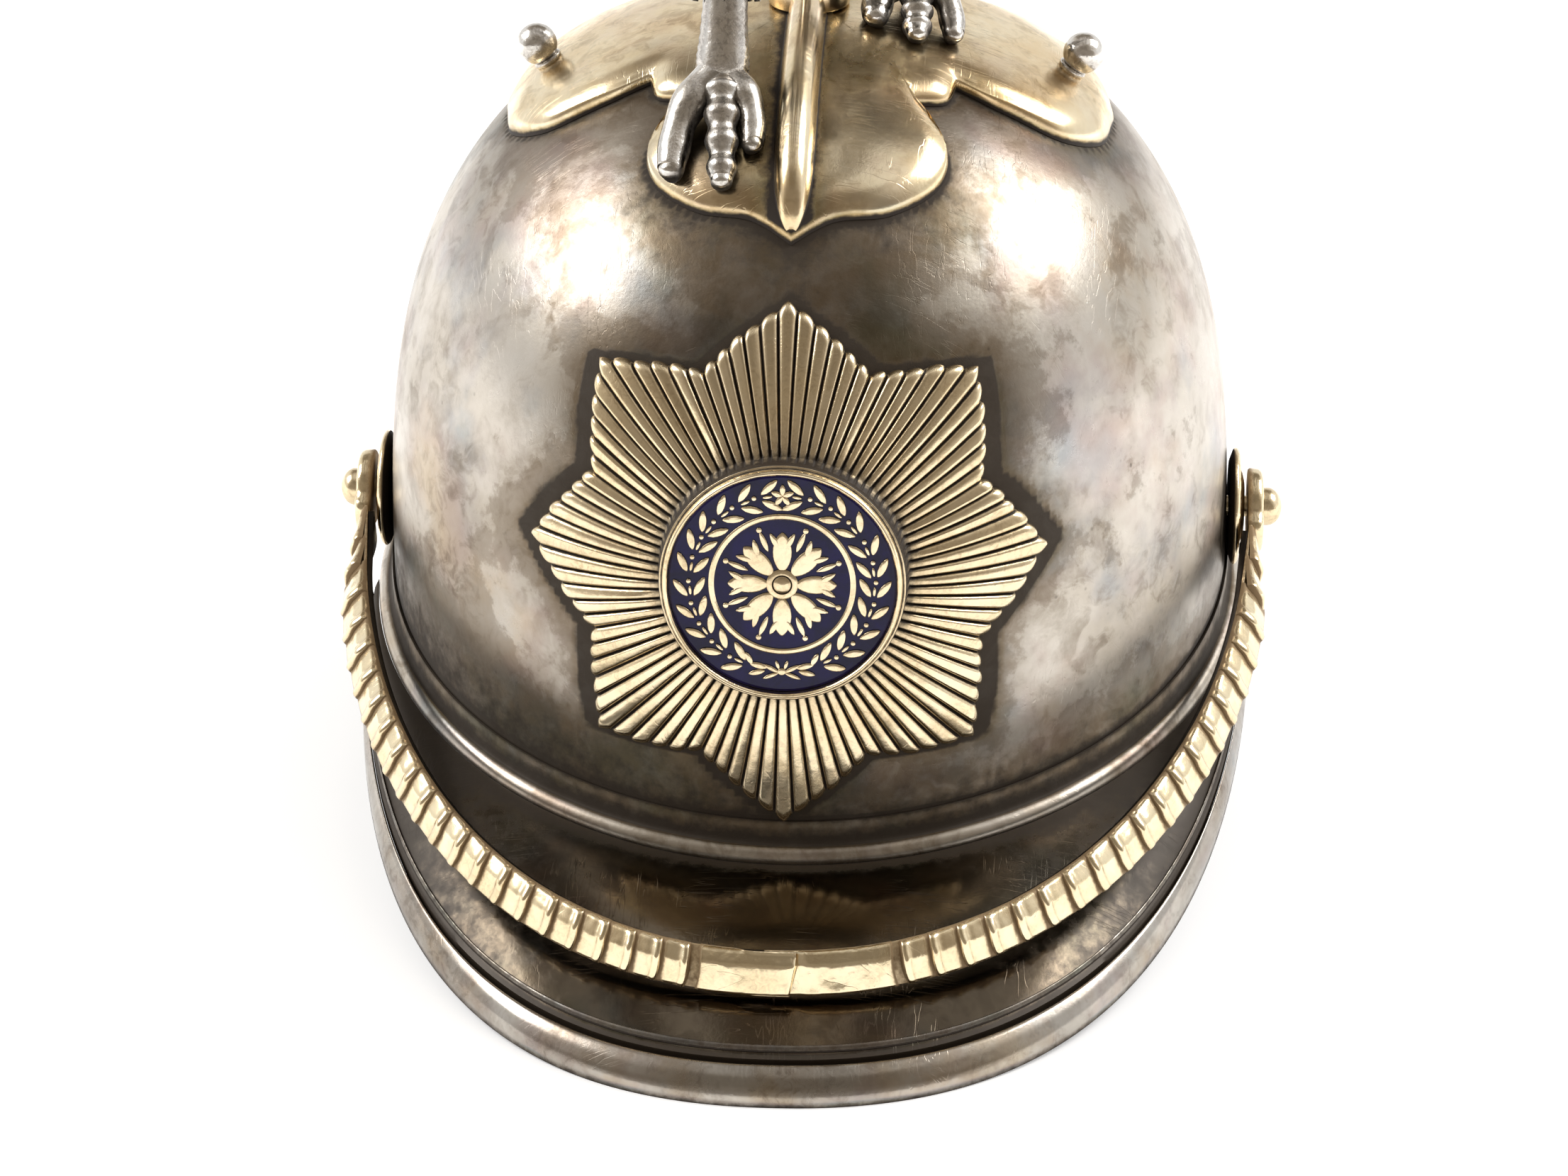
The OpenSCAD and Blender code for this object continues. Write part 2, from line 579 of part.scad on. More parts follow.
function bow_flat(a) = let(run = bow_reach * pow(sin(a), 2 / bow_power))
    [bow_half_width * pow(max(0, cos(a)), 2 / bow_power)
        + flare * pow(max(0, 1 - run / flare_run), 2), run];
bow_angles = [for (k = [0:bow_stations]) 90 * pow(k / bow_stations, 1.15)];
angle_by_run = lengths([for (a = bow_angles) bow_flat(a)], bow_angles);
bow_length = angle_by_run[bow_stations][0];
function bow_at(run) = bow_flat(lookup(min(run, bow_length), angle_by_run));
function lean_at(run) = let(f = max(0, min(1, (run - scales_from) / lean_run)))
    bow_lean * f * f * (3 - 2 * f);
function bow_point(run, across, lift) = let(
    p = bow_at(run),
    t = unit(bow_at(min(run + 0.4, bow_length)) - bow_at(max(0, run - 0.4))),
    lean = lean_at(run),
    down = scale_half - across,
    q = p + (lift * cos(lean) + down * sin(lean)) * [t[1], -t[0]],
    rise = scale_half - down * cos(lean) + lift * sin(lean))
    [q[0], pivot_y, pivot_height] + bow_ahead * q[1] + bow_up * rise;

// Runs along the bow: the end's eye, the scales, and the plain tip in front
tip_run = 5.6;
scales_to = bow_length - tip_run;
pitch_ratio = 0.62;
pitch_unit = (scales_to - scales_from) / scale_count / ((1 + pitch_ratio) / 2);
function scale_at(i) = scales_from + pitch_unit * (i - (1 - pitch_ratio) * i * i / scale_count / 2);
scale_lap = 0.45;
scale_nose = 0.55;
scale_swell = 0.22;
across_steps = [-1, -0.5, 0, 0.5, 1];
scale_steps = [[0, 0], [0.45, 0.07], [0.85, 0.03], [1, 0.14]];
function scale_rise(i) = let(long = scale_at(i + 1) - scale_at(i))
    (scale_wall + 0.05) * (long + scale_lap) / long;
function scale_row(i, f, lift) = [for (a = across_steps)
    bow_point(mix(scale_at(i), scale_at(i + 1) + scale_lap, f) - scale_nose * a * a,
        a * scale_half, fit + lift + scale_rise(i) * f + scale_swell * (1 - a * a))];
module one_scale(i) {
    slab([for (q = scale_steps) scale_row(i, q[0], scale_wall + q[1])],
        [for (q = scale_steps) scale_row(i, q[0], q[1])]);
}
module scale_half_bow(side) {
    color(gilt) mirror([side < 0 ? 1 : 0, 0, 0]) for (i = [0:scale_count - 1])
        one_scale(i);
}
module chin_scales_left() {
    scale_half_bow(-1);
}
module chin_scales_right() {
    scale_half_bow(1);
}
backing_steps = 22;
module backing(side) {
    runs = [for (k = [0:backing_steps]) mix(scales_from, bow_length - fit, k / backing_steps)];
    color(dark_steel) mirror([side < 0 ? 1 : 0, 0, 0])
        slab([for (s = runs) [for (a = [-1, 0, 1]) bow_point(s, a * (scale_half - 0.15), 0)]],
            [for (s = runs) [for (a = [-1, 0, 1]) bow_point(s, a * (scale_half - 0.15), -backing_wall)]]);
}
module bow_backing_left() {
    backing(-1);
}
module bow_backing_right() {
    backing(1);
}

// Plain tips in front: the left one lies over the right one
tip_wall = 0.4;
tip_over = 2.6;
tip_steps = 5;
function tip_width(f) = scale_half * sqrt(max(0.02, 1 - pow(max(0, f - 0.45) / 0.56, 2)));
function tip_point(run, across, lift) = run <= bow_length
    ? bow_point(run, across, lift)
    : bow_point(bow_length, across, lift) - [run - bow_length, 0, 0];
module tip(side, lift, reach) {
    start = scales_to + scale_lap + fit;
    grid = [for (k = [0:tip_steps]) let(f = k / tip_steps, run = mix(start, bow_length + reach, f))
        [for (a = across_steps) [run - scale_nose * a * a * (1 - f), a * tip_width(f)]]];
    color(gilt) mirror([side < 0 ? 1 : 0, 0, 0])
        slab([for (row = grid) [for (p = row) tip_point(p[0], p[1], lift + tip_wall)]],
            [for (row = grid) [for (p = row) tip_point(p[0], p[1], lift)]]);
}
module bow_tip_left() {
    tip(-1, 2 * fit + tip_wall, tip_over);
}
module bow_tip_right() {
    tip(1, fit, tip_over - 1.2);
}

// End of the bow: a plate with an eye for the rivet and a rounded tongue towards the first scale
end_radius = 2.9;
end_tongue = scales_from - scale_nose - 0.1;
tongue_run = end_tongue - scale_half * 0.6;
module bow_end(side) {
    color(gilt) at_pivot(side) translate([0, 0, end_back]) rotate(bow_tilt - 90) difference() {
        linear_extrude(height = end_depth) union() {
            circle(r = end_radius, $fn = 64);
            translate([0, -scale_half]) square([tongue_run, scale_width]);
            translate([tongue_run, 0]) intersection() {
                circle(r = scale_half, $fn = 64);
                translate([-scale_half, -scale_half]) square([scale_half * 1.6, scale_width]);
            }
        }
        translate([0, 0, -1]) cylinder(r = rivet_hole, h = end_depth + 2, $fn = 48);
    }
}
module bow_end_left() {
    bow_end(-1);
}
module bow_end_right() {
    bow_end(1);
}

// Eagle: placed over the boss and sized by its height
bird = eagle_height / 55;
function in_bird(p) = [0, 0, boss_foot] + p * bird;
module along(p, q) {
    v = q - p;
    translate(p) rotate([0, acos(v[2] / norm(v)), atan2(v[1], v[0])]) children();
}
function egg(r, long, blunt) = [for (a = [0:15:180])
    [r * sin(a) * (1 + blunt * cos(a)), long / 2 * (1 - cos(a))]];
module egg_solid(r, long, blunt) {
    rotate_extrude($fn = 48) polygon(egg(r, long, blunt));
}

// Stud through the boss, the plate and the bowl, with a nut inside
nut_top = apex - bowl_wall - 0.4;
nut_depth = 1.8;
body_low = in_bird([0, 0.8, 11.5]);
body_high = in_bird([0, -2.4, 36]);
body_radius = 7.2 * bird;
socket_depth = 3 * bird;
stud_top = body_low[2] + socket_depth;
module eagle_stud() {
    r = stud_size / 2;
    color(silver) rotate_extrude($fn = 48) polygon([
        [0, nut_top - nut_depth - 0.8], [r - 0.2, nut_top - nut_depth - 0.8],
        [r, nut_top - nut_depth - 0.5],
        [r, boss_top + fit], [r + 0.9, boss_top + fit], [r + 0.9, boss_top + 0.5],
        [r + 0.3, boss_top + 1.2], [r + 0.3, stud_top], [0, stud_top]]);
}
module eagle_nut() {
    color(silver) translate([0, 0, nut_top - nut_depth]) difference() {
        cylinder(r = stud_size * 1.15, h = nut_depth, $fn = 6);
        translate([0, 0, -1]) cylinder(r = stud_size / 2 + fit, h = nut_depth + 2, $fn = 48);
    }
}

// Body with a socket for the stud
module body_form(grow) {
    along(body_low - [0, 0, grow], body_high)
        egg_solid(body_radius + grow, norm(body_high - body_low) + 2 * grow, -0.12);
}
module eagle_body() {
    color(silver) difference() {
        body_form(0);
        translate([0, 0, body_low[2] - 5])
            cylinder(r = stud_size / 2 + 0.3 + fit, h = 5 + socket_depth + fit, $fn = 48);
    }
}

// Feather as a flat blade along +X in the plane of X and Z
function feather_side(long, wide) = [for (k = [0:5]) let(f = k / 5)
    [long * f, wide / 2 * (0.45 + 0.55 * sin(150 * f)) * (f < 1 ? 1 : 0.35)]];
module feather(root, angle, long, wide, thick) {
    side = feather_side(long, wide);
    translate(root) rotate([90, 0, 0]) rotate(angle) translate([0, 0, -thick / 2])
        linear_extrude(height = thick)
            polygon(concat(side, [for (k = [5:-1:0]) [side[k][0], -side[k][1]]]));
}

// Wing: an arm from shoulder to wrist, long feathers fanned from the wrist and along the arm
shoulder = in_bird([5, 0.4, 29.5]);
wrist = in_bird([13.5, 0.8, 41.5]);
wing_reach = wing_spread - wrist[0];
arm_feathers = 5;
module wing() {
    color(silver) difference() {
        union() {
            along(shoulder, wrist)
                cylinder(r1 = 2.1 * bird, r2 = 1.3 * bird, h = norm(wrist - shoulder), $fn = 32);
            translate(wrist) sphere(r = 1.45 * bird, $fn = 32);
            for (k = [0:wing_feathers - 1]) let(f = k / (wing_feathers - 1))
                feather(wrist + [0, 0.12 * k, 0], mix(66, -62, f), wing_reach * (1 + 0.22 * f),
                    3.7 * bird, 1.1);
            for (k = [0:arm_feathers - 1]) let(f = (k + 0.5) / arm_feathers)
                feather(mix(wrist, shoulder, f) + [0, 0.9 + 0.1 * k, 0], mix(-66, -80, f),
                    mix(17, 13, f) * bird, 3.9 * bird, 1.1);
            for (k = [0:arm_feathers - 1]) let(f = (k + 0.3) / arm_feathers)
                feather(mix(wrist, shoulder, f) + [0, -0.75, 0], mix(-40, -72, f),
                    7 * bird, 3.4 * bird, 0.8);
        }
        body_form(fit);
        head_form(fit);
    }
}
module eagle_wing_left() {
    mirror([1, 0, 0]) wing();
}
module eagle_wing_right() {
    wing();
}

// Tail: a fan of feathers behind the body, over the back fin
tail_root = in_bird([0, 4.9, 16]);
tail_feathers = 5;
module eagle_tail() {
    color(silver) difference() {
        for (k = [0:tail_feathers - 1]) let(f = k / (tail_feathers - 1) - 0.5)
            feather(tail_root + [0, 0.9 * abs(f), 0], -90 + 64 * f,
                (12 - 3.4 * abs(f)) * bird, 3.6 * bird, 1);
        body_form(fit);
    }
}

// Heads: two necks that part from the body, each with a skull, a brow and a hooked beak
neck_low = in_bird([2.2, -1.8, 30]);
neck_high = in_bird([5.2, -2.2, 41.5]);
head_radius = 2.8 * bird;
eye_place = [0.95, 2.05, 0.55] * bird;
eye_radius = 0.5 * bird;
beak_root = neck_high + [head_radius * 0.6, 0, 0];
module head_form(grow) {
    along(neck_low, neck_high)
        cylinder(r1 = 3.5 * bird + grow, r2 = 2.1 * bird + grow, h = norm(neck_high - neck_low), $fn = 32);
    translate(neck_high) sphere(r = head_radius + grow, $fn = 48);
}
module head() {
    color(silver) difference() {
        union() {
            head_form(0);
            for (side = [-1, 1]) {
                eye = neck_high + [eye_place[0], side * eye_place[1], eye_place[2]];
                translate(eye) sphere(r = eye_radius, $fn = 24);
                along(eye + [-1.5, 0, 0.65] * bird, eye + [1.2, 0, 0.5] * bird)
                    egg_solid(eye_radius * 0.8, 2.7 * bird, 0);
            }
            along(beak_root, beak_root + [1, 0, -0.12])
                cylinder(r1 = 1.5 * bird, r2 = 0.8 * bird, h = 3.1 * bird, $fn = 32);
            along(beak_root + [0, 0, -0.95] * bird, beak_root + [2.4, 0, -1.5] * bird)
                cylinder(r1 = 0.75 * bird, r2 = 0.2 * bird, h = 2.5 * bird, $fn = 32);
            translate(beak_root + [3.1, 0, -0.37] * bird) sphere(r = 0.8 * bird, $fn = 32);
            along(beak_root + [3.3, 0, -0.4] * bird, beak_root + [3.5, 0, -2.6] * bird)
                cylinder(r1 = 0.72 * bird, r2 = 0.15, h = 2 * bird, $fn = 32);
        }
        body_form(fit);
        translate([-20, -20, 0]) cube([20 + fit, 40, 200]);
    }
}
module eagle_head_left() {
    mirror([1, 0, 0]) head();
}
module eagle_head_right() {
    head();
}

// Crown over both heads
crown_radius = neck_high[0] * 0.9;
crown_band = crown_radius * 0.8;
crown_foot = neck_high[2] + fit
    + sqrt(pow(head_radius, 2) - pow(neck_high[0] - crown_band, 2));
crown_rise = boss_foot + eagle_height - crown_foot;
module eagle_crown() {
    r = crown_radius;
    h = crown_rise;
    color(gilt) translate([0, neck_high[1], crown_foot]) rotate_extrude($fn = 64) polygon([
        [0, 0], [crown_band, 0], [r * 0.84, h * 0.16], [r * 0.74, h * 0.2],
        [r * 0.95, h * 0.36], [r, h * 0.48],
        [r * 0.86, h * 0.62], [r * 0.5, h * 0.72], [r * 0.16, h * 0.74], [r * 0.12, h * 0.8],
        [r * 0.24, h * 0.86], [r * 0.26, h * 0.92], [r * 0.18, h * 0.98], [0, h]]);
}

// Legs: a feathered thigh, a bare shank and a foot of four knuckled toes that grips the plate
function on_plate(x, y, lift) = [x, y, dome_over(x, y, crest_top) + lift];
toe_root = 1.15 * bird;
toe_end = 0.62 * bird;
function toe_profile(long) = concat([[0, 0]],
    [for (k = [0:12]) let(f = k / 12)
        [mix(toe_root, toe_end, f) * (1 + 0.13 * cos(1080 * f)), long * f * 0.86]],
    [[toe_end / 2, long * 0.95], [0, long]]);
module toe(ankle, tip) {
    along(ankle, tip) rotate_extrude($fn = 32) polygon(toe_profile(norm(tip - ankle)));
}
module leg(hip, hock, foot, toes) {
    ankle = on_plate(foot[0] * bird, foot[1] * bird, 2.6 * bird);
    color(silver) difference() {
        union() {
            along(hip, hock + unit(hock - hip) * 1.2 * bird)
                egg_solid(3.1 * bird, norm(hock - hip) + 2.4 * bird, -0.2);
            along(hock, ankle)
                cylinder(r1 = 1.6 * bird, r2 = 1.75 * bird, h = norm(ankle - hock), $fn = 32);
            translate(ankle) sphere(r = 1.95 * bird, $fn = 32);
            for (t = toes) let(p = (foot + t) * bird)
                toe(ankle, on_plate(p[0], p[1], toe_end + 0.16 * bird));
        }
        body_form(fit);
    }
}
module eagle_leg_left() {
    leg(in_bird([-4, -2.6, 20]), in_bird([-5, -9.4, 13]), [-5.4, -14.4],
        [[-3.3, -6], [0.4, -7.5], [2.4, -5], [0.2, 4]]);
}
module eagle_leg_right() {
    leg(in_bird([4, -0.6, 20]), in_bird([6.6, 1.4, 12.5]), [7.8, 1],
        [[-2.8, -5], [0.3, -6.6], [2.9, -5.4], [0.2, 4]]);
}

bowl();
base_bead();
peak();
peak_border();
peak_inner_line();
neck_lame_upper();
neck_lame_middle();
neck_lame_lower();
neck_border();
crest_plate();
crest_fin_front();
crest_fin_back();
crest_boss();
ball_studs();
star();
badge_bezel();
badge_enamel();
badge_inner_ring();
badge_pellets();
badge_flower();
rosette_left();
rosette_right();
rivet_left();
rivet_right();
bow_end_left();
bow_end_right();
bow_backing_left();
bow_backing_right();
chin_scales_left();
chin_scales_right();
bow_tip_left();
bow_tip_right();
eagle_stud();
eagle_nut();
eagle_body();
eagle_tail();
eagle_leg_left();
eagle_leg_right();
eagle_wing_left();
eagle_wing_right();
eagle_head_left();
eagle_head_right();
eagle_crown();
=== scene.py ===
"""Parade cavalry helmet, a silversmith's miniature in silver, gilt and enamel."""
import json
import logging
import math
from dataclasses import dataclass
from enum import Enum
from typing import Optional, Sequence, Union

import bpy
import numpy as np
from mathutils import Matrix, Vector


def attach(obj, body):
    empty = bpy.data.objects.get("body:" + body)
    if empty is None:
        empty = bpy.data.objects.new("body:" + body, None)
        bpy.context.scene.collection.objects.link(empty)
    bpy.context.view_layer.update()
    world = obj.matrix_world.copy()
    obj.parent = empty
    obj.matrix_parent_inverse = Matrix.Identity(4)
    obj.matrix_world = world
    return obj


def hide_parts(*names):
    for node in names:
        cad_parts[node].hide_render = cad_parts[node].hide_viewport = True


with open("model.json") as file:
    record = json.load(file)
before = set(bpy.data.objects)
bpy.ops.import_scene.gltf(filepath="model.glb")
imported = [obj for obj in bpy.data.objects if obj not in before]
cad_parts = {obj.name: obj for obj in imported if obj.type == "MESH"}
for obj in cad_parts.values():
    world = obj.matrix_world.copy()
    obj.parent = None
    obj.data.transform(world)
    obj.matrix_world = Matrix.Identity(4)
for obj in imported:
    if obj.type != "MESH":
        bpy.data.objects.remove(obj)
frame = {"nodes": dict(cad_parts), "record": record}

LOG = logging.getLogger("helmet")
MM = 0.001
Array = np.ndarray
Number = Union[float, Array]
Row = Sequence[float]
Rows = Sequence[Row]
Point = tuple[float, float, float]
Mesh = bpy.types.Mesh
Material = bpy.types.Material
Socket = bpy.types.NodeSocket
Plug = Union[Socket, float, Row]


class Body(Enum):
    """The two bodies that pieces ride on."""

    HELMET = "helmet"
    BOW = "chin_bow"


class Slot(Enum):
    """The material slots of the record."""

    SKULL = "skull_silver"
    BORDER = "border_silver"
    CAST = "cast_silver"
    PLATE = "dark_plate"
    GILT = "gilt"
    ENAMEL = "enamel"
    STRIP = "blackened_strip"


class Side(Enum):
    """The helmet's two sides, named as the photograph shows them."""

    LEFT = -1
    RIGHT = 1


def circle(count: int) -> Array:
    """Angles at even steps round a circle."""
    return np.linspace(0, 2 * math.pi, count, endpoint=False)


def unit(v: Array) -> Array:
    """Vectors brought to length 1."""
    return v / np.maximum(np.linalg.norm(v, axis=-1, keepdims=True), 1e-9)


def share(v: Number) -> Number:
    """A value held between 0 and 1."""
    return np.clip(v, 0, 1)


def bell(v: Number) -> Number:
    """A bell curve, 1 at zero."""
    return np.exp(-np.square(v))


def arc(v: Number) -> Number:
    """A quarter circle that falls from 1 at zero to 0 at one."""
    return np.sqrt(np.maximum(1 - np.square(v), 0))


def runs(line: Array) -> Array:
    """Distance of each point of a line from its start."""
    return np.concatenate([[0], np.cumsum(np.linalg.norm(np.diff(line, axis=0), axis=1))])


def polar(radius: Number, angle: Array) -> Array:
    """Points of a plan at a radius and an angle."""
    return np.stack([radius * np.cos(angle), radius * np.sin(angle)], -1)


def raised(plan: Array, z: Number) -> Array:
    """Points of a plan with their heights."""
    return np.concatenate([plan, np.broadcast_to(z, plan.shape[:-1])[..., None]], -1)


def placed(points: Array, matrix: Array) -> Array:
    """Points moved by a 4 x 4 matrix."""
    return points @ matrix[:3, :3].T + matrix[:3, 3]


def axes(x: Row = (1, 0, 0), z: Row = (0, 0, 1), at: Row = (0, 0, 0)) -> Array:
    """A 4 x 4 frame with the given X, Z and place."""
    return np.vstack([np.stack([x, np.cross(z, x), z, at], -1), [0, 0, 0, 1]])


def frame_along(start: Array, end: Array, up: Row = (0, 0, 1)) -> Array:
    """A frame whose Z runs from one point to another.

    Args:
        start: where the frame sits.
        end: the point that Z runs to.
        up: the direction that X keeps close to.

    Returns:
        A 4 x 4 matrix in millimetres.
    """
    z = unit(np.asarray(end, float) - start)
    x = np.asarray(up, float) - z * np.dot(up, z)
    if np.linalg.norm(x) < 1e-6:
        x = np.array([1.0, 0, 0]) - z * z[0]
    return axes(unit(x), z, start)


def net(rows: int, columns: int, start: int = 0, ring: bool = False) -> Array:
    """Quads between the rows of a grid of points.

    Args:
        rows: number of rows.
        columns: points in a row.
        start: number of the first point.
        ring: True if each row is closed to a ring.

    Returns:
        Corner numbers, four to a quad.
    """
    j, i = np.meshgrid(np.arange(rows - 1), np.arange(columns if ring else columns - 1), indexing="ij")
    a, b = start + j * columns + i, start + j * columns + (i + 1) % columns
    return np.stack([a, b, b + columns, a + columns], -1).reshape(-1, 4)


def fan(first: int, count: int, hub: int) -> Array:
    """Triangles from a ring of points, the first of which is given, to a hub."""
    k = np.arange(count)
    return np.stack([first + k, first + (k + 1) % count, np.full(count, hub)], -1)


def rounded(corners: Rows, radius: float, steps: int = 3, closed: bool = False) -> Array:
    """Rounds the inner corners of a line of points with small curves.

    Args:
        corners: the line's corners.
        radius: how far from a corner its curve starts.
        steps: pieces in each curve.
        closed: True if the line closes on itself.

    Returns:
        The rounded line.
    """
    run = np.asarray(corners, float)
    out = [] if closed else [run[0]]
    f = np.linspace(0, 1, steps + 1)[:, None]
    for k in range(len(run)) if closed else range(1, len(run) - 1):
        ends = []
        for other in (run[k - 1], run[(k + 1) % len(run)]):
            far = np.linalg.norm(other - run[k])
            ends.append(run[k] + (other - run[k]) / max(far, 1e-9) * min(radius, 0.45 * far))
        out.append((1 - f) ** 2 * ends[0] + 2 * f * (1 - f) * run[k] + f * f * ends[1])
    return np.vstack(out if closed else out + [run[-1]])


def smooth_line(points: Rows, steps: int) -> Array:
    """A smooth curve through points.

    Args:
        points: the points, open at both ends.
        steps: pieces between each two points.

    Returns:
        The curve's points, the last one included.
    """
    p = np.asarray(points, float)
    p = np.vstack([2 * p[0] - p[1], p, 2 * p[-1] - p[-2]])
    f = (np.arange(steps) / steps)[:, None]
    out = [0.5 * (2 * b + (c - a) * f + (2 * a - 5 * b + 4 * c - d) * f**2 + (3 * b - a - 3 * c + d) * f**3)
           for a, b, c, d in zip(p, p[1:], p[2:], p[3:])]
    return np.vstack(out + [p[-2]])


def knots(at: Row, *rows: Row) -> Array:
    """Control points of a limb, each with its radius, given from a point."""
    return np.array(rows) + (*at, 0)


def linked(name: str, data: bpy.types.ID) -> bpy.types.Object:
    """A new object in the scene.

    Args:
        name: its name.
        data: what it shows.

    Returns:
        The object.
    """
    made = bpy.data.objects.new(name, data)
    bpy.context.scene.collection.objects.link(made)
    return made


def mark(mesh: Mesh, name: str, values: Array) -> None:
    """Keeps a number or a vector for each point of a mesh."""
    kind, key = ("FLOAT", "value") if values.ndim == 1 else ("FLOAT_VECTOR", "vector")
    mesh.attributes.new(name, kind, "POINT").data.foreach_set(key, values.astype(np.float32).ravel())


class Shape:
    """A mesh under construction, in millimetres, made of closed solids."""

    def __init__(self, name: str) -> None:
        """Starts an empty shape with the name of its piece.

        Args:
            name: the piece's name.
        """
        self.name, self.count = name, 0
        self.points: list[Array] = []
        self.faces: list[Array] = []
        self.recess: list[Array] = []
        self.blade: list[Array] = []

    def solid(self, points: Array, faces: Sequence[Array], recess: Optional[Array] = None) -> "Shape":
        """Adds one closed solid, turned so that its faces point outwards.

        Args:
            points: its points.
            faces: blocks of triangles and quads.
            recess: how dark each point is made, from 0 to 1: deep in a recess, and on some pieces painted shade.

        Returns:
            The shape itself.
        """
        volume = sum(np.einsum("ij,ij->", c[:, 0], np.cross(c[:, k], c[:, k + 1]))
                     for c in (points[block] for block in faces) for k in range(1, c.shape[1] - 1))
        self.faces += [(block[:, ::-1] if volume < 0 else block) + self.count for block in faces]
        self.points.append(points)
        self.recess.append(np.zeros(len(points)) if recess is None else np.asarray(recess, float).ravel())
        self.blade.append(np.zeros((len(points), 3)))
        self.count += len(points)
        return self

    def mirrored(self, name: str) -> "Shape":
        """The same shape on the helmet's other side.

        Args:
            name: the new shape's name.

        Returns:
            The new shape.
        """
        made = Shape(name)
        made.faces = [block[:, ::-1] for block in self.faces]
        made.points = [points * (-1, 1, 1) for points in self.points]
        made.recess, made.blade = self.recess, self.blade
        return made

    def tube(self, loops: Array, ring: bool = False, recess: Optional[Array] = None,
             hubs: Optional[Array] = None) -> "Shape":
        """Adds the solid along a row of closed loops.

        Args:
            loops: loops by points.
            ring: True if the row closes on itself, else both ends are capped.
            recess: values for the loops' points, or one for each loop.
            hubs: the caps' middle points, if they aren't in the loops' planes.

        Returns:
            The shape itself.
        """
        m, n = loops.shape[:2]
        if recess is not None:
            recess = np.broadcast_to(recess if np.ndim(recess) > 1 else np.reshape(recess, (-1, 1)), (m, n))
        if ring:
            return self.solid(loops.reshape(-1, 3), [net(m + 1, n, 0, True) % (m * n)], recess)
        if recess is not None:
            recess = np.concatenate([recess.ravel(), recess[[0, -1]].mean(1)])
        points = np.concatenate([loops.reshape(-1, 3), loops[[0, -1]].mean(1) if hubs is None else hubs])
        faces = [net(m, n, 0, True), fan(0, n, m * n)[:, ::-1], fan((m - 1) * n, n, m * n + 1)]
        return self.solid(points, faces, recess)

    def plate(self, top: Array, under: Array, recess: Array) -> "Shape":
        """Adds the solid between two grids.

        Args:
            top: rows by columns of points.
            under: the same for the other face.
            recess: values for the top grid's points.

        Returns:
            The shape itself.
        """
        m, n = top.shape[:2]
        u = m * n
        edge = np.concatenate([np.arange(n), np.arange(1, m) * n + n - 1,
                               (m - 1) * n + np.arange(n - 2, -1, -1), np.arange(m - 2, 0, -1) * n])
        around = np.roll(edge, -1)
        walls = np.stack([edge, edge + u, around + u, around], -1)
        points = np.concatenate([top.reshape(-1, 3), under.reshape(-1, 3)])
        values = np.append(np.broadcast_to(recess, (m, n)), np.full(u, 0.6))
        return self.solid(points, [net(m, n), net(m, n, u)[:, ::-1], walls], values)

    def lathe(self, profile: Rows, matrix: Array, segments: int = 64,
              recess: Optional[Row] = None, closed: bool = False) -> "Shape":
        """Adds a turned solid.

        Args:
            profile: radius and height of the profile's points.
            matrix: frame whose Z is the axis.
            segments: points in each ring.
            recess: values for the profile's points.
            closed: True if the profile closes on itself, as on a ring.

        Returns:
            The shape itself.
        """
        p = np.asarray(profile, float)
        loops = raised(polar(np.maximum(p[:, :1], 1e-4), circle(segments)), p[:, 1:])
        return self.tube(placed(loops, matrix), closed, recess)

    def ball(self, centre: Row, radius: Union[float, Row], segments: int = 24) -> "Shape":
        """Adds a ball or an egg.

        Args:
            centre: its middle.
            radius: one radius, or three along the axes.
            segments: points round it.

        Returns:
            The shape itself.
        """
        t = np.linspace(-math.pi / 2, math.pi / 2, max(6, segments // 2) + 1)[1:-1, None]
        loops = raised(polar(np.cos(t), circle(segments)), np.sin(t)) * radius
        return self.tube(loops + centre, hubs=np.array([[0, 0, -1], [0, 0, 1]]) * radius + centre)

    def limb(self, path: Rows, segments: int = 28, steps: int = 8, flat: float = 1.0,
             up: Row = (0, 0, 1), rings: float = 0.0, recess: float = 0.0) -> "Shape":
        """Adds a round limb along a smooth path.

        Args:
            path: place and radius of its control points.
            segments: points round it.
            steps: pieces between two control points.
            flat: its thickness along the frame's X, as a share of its width.
            up: the direction that the frame's X keeps close to.
            rings: depth of fine rings across it.
            recess: how much darker the side that faces away from X is made.

        Returns:
            The shape itself.
        """
        line = smooth_line(path, steps)
        centre, a = line[:, :3], circle(segments)
        loops, dirt = [], []
        for k, (c, r, t) in enumerate(zip(centre, np.maximum(line[:, 3], 0.02), np.gradient(centre, axis=0))):
            ring = raised(polar(r * (1 - rings * (k % 2)), a) * (flat, 1), 0)
            loops.append(placed(ring, frame_along(c, c + t, up)))
            dirt.append(recess * (0.5 - 0.5 * np.cos(a)) + 0.5 * rings * (k % 2))
        return self.tube(np.stack(loops), False, np.stack(dirt))

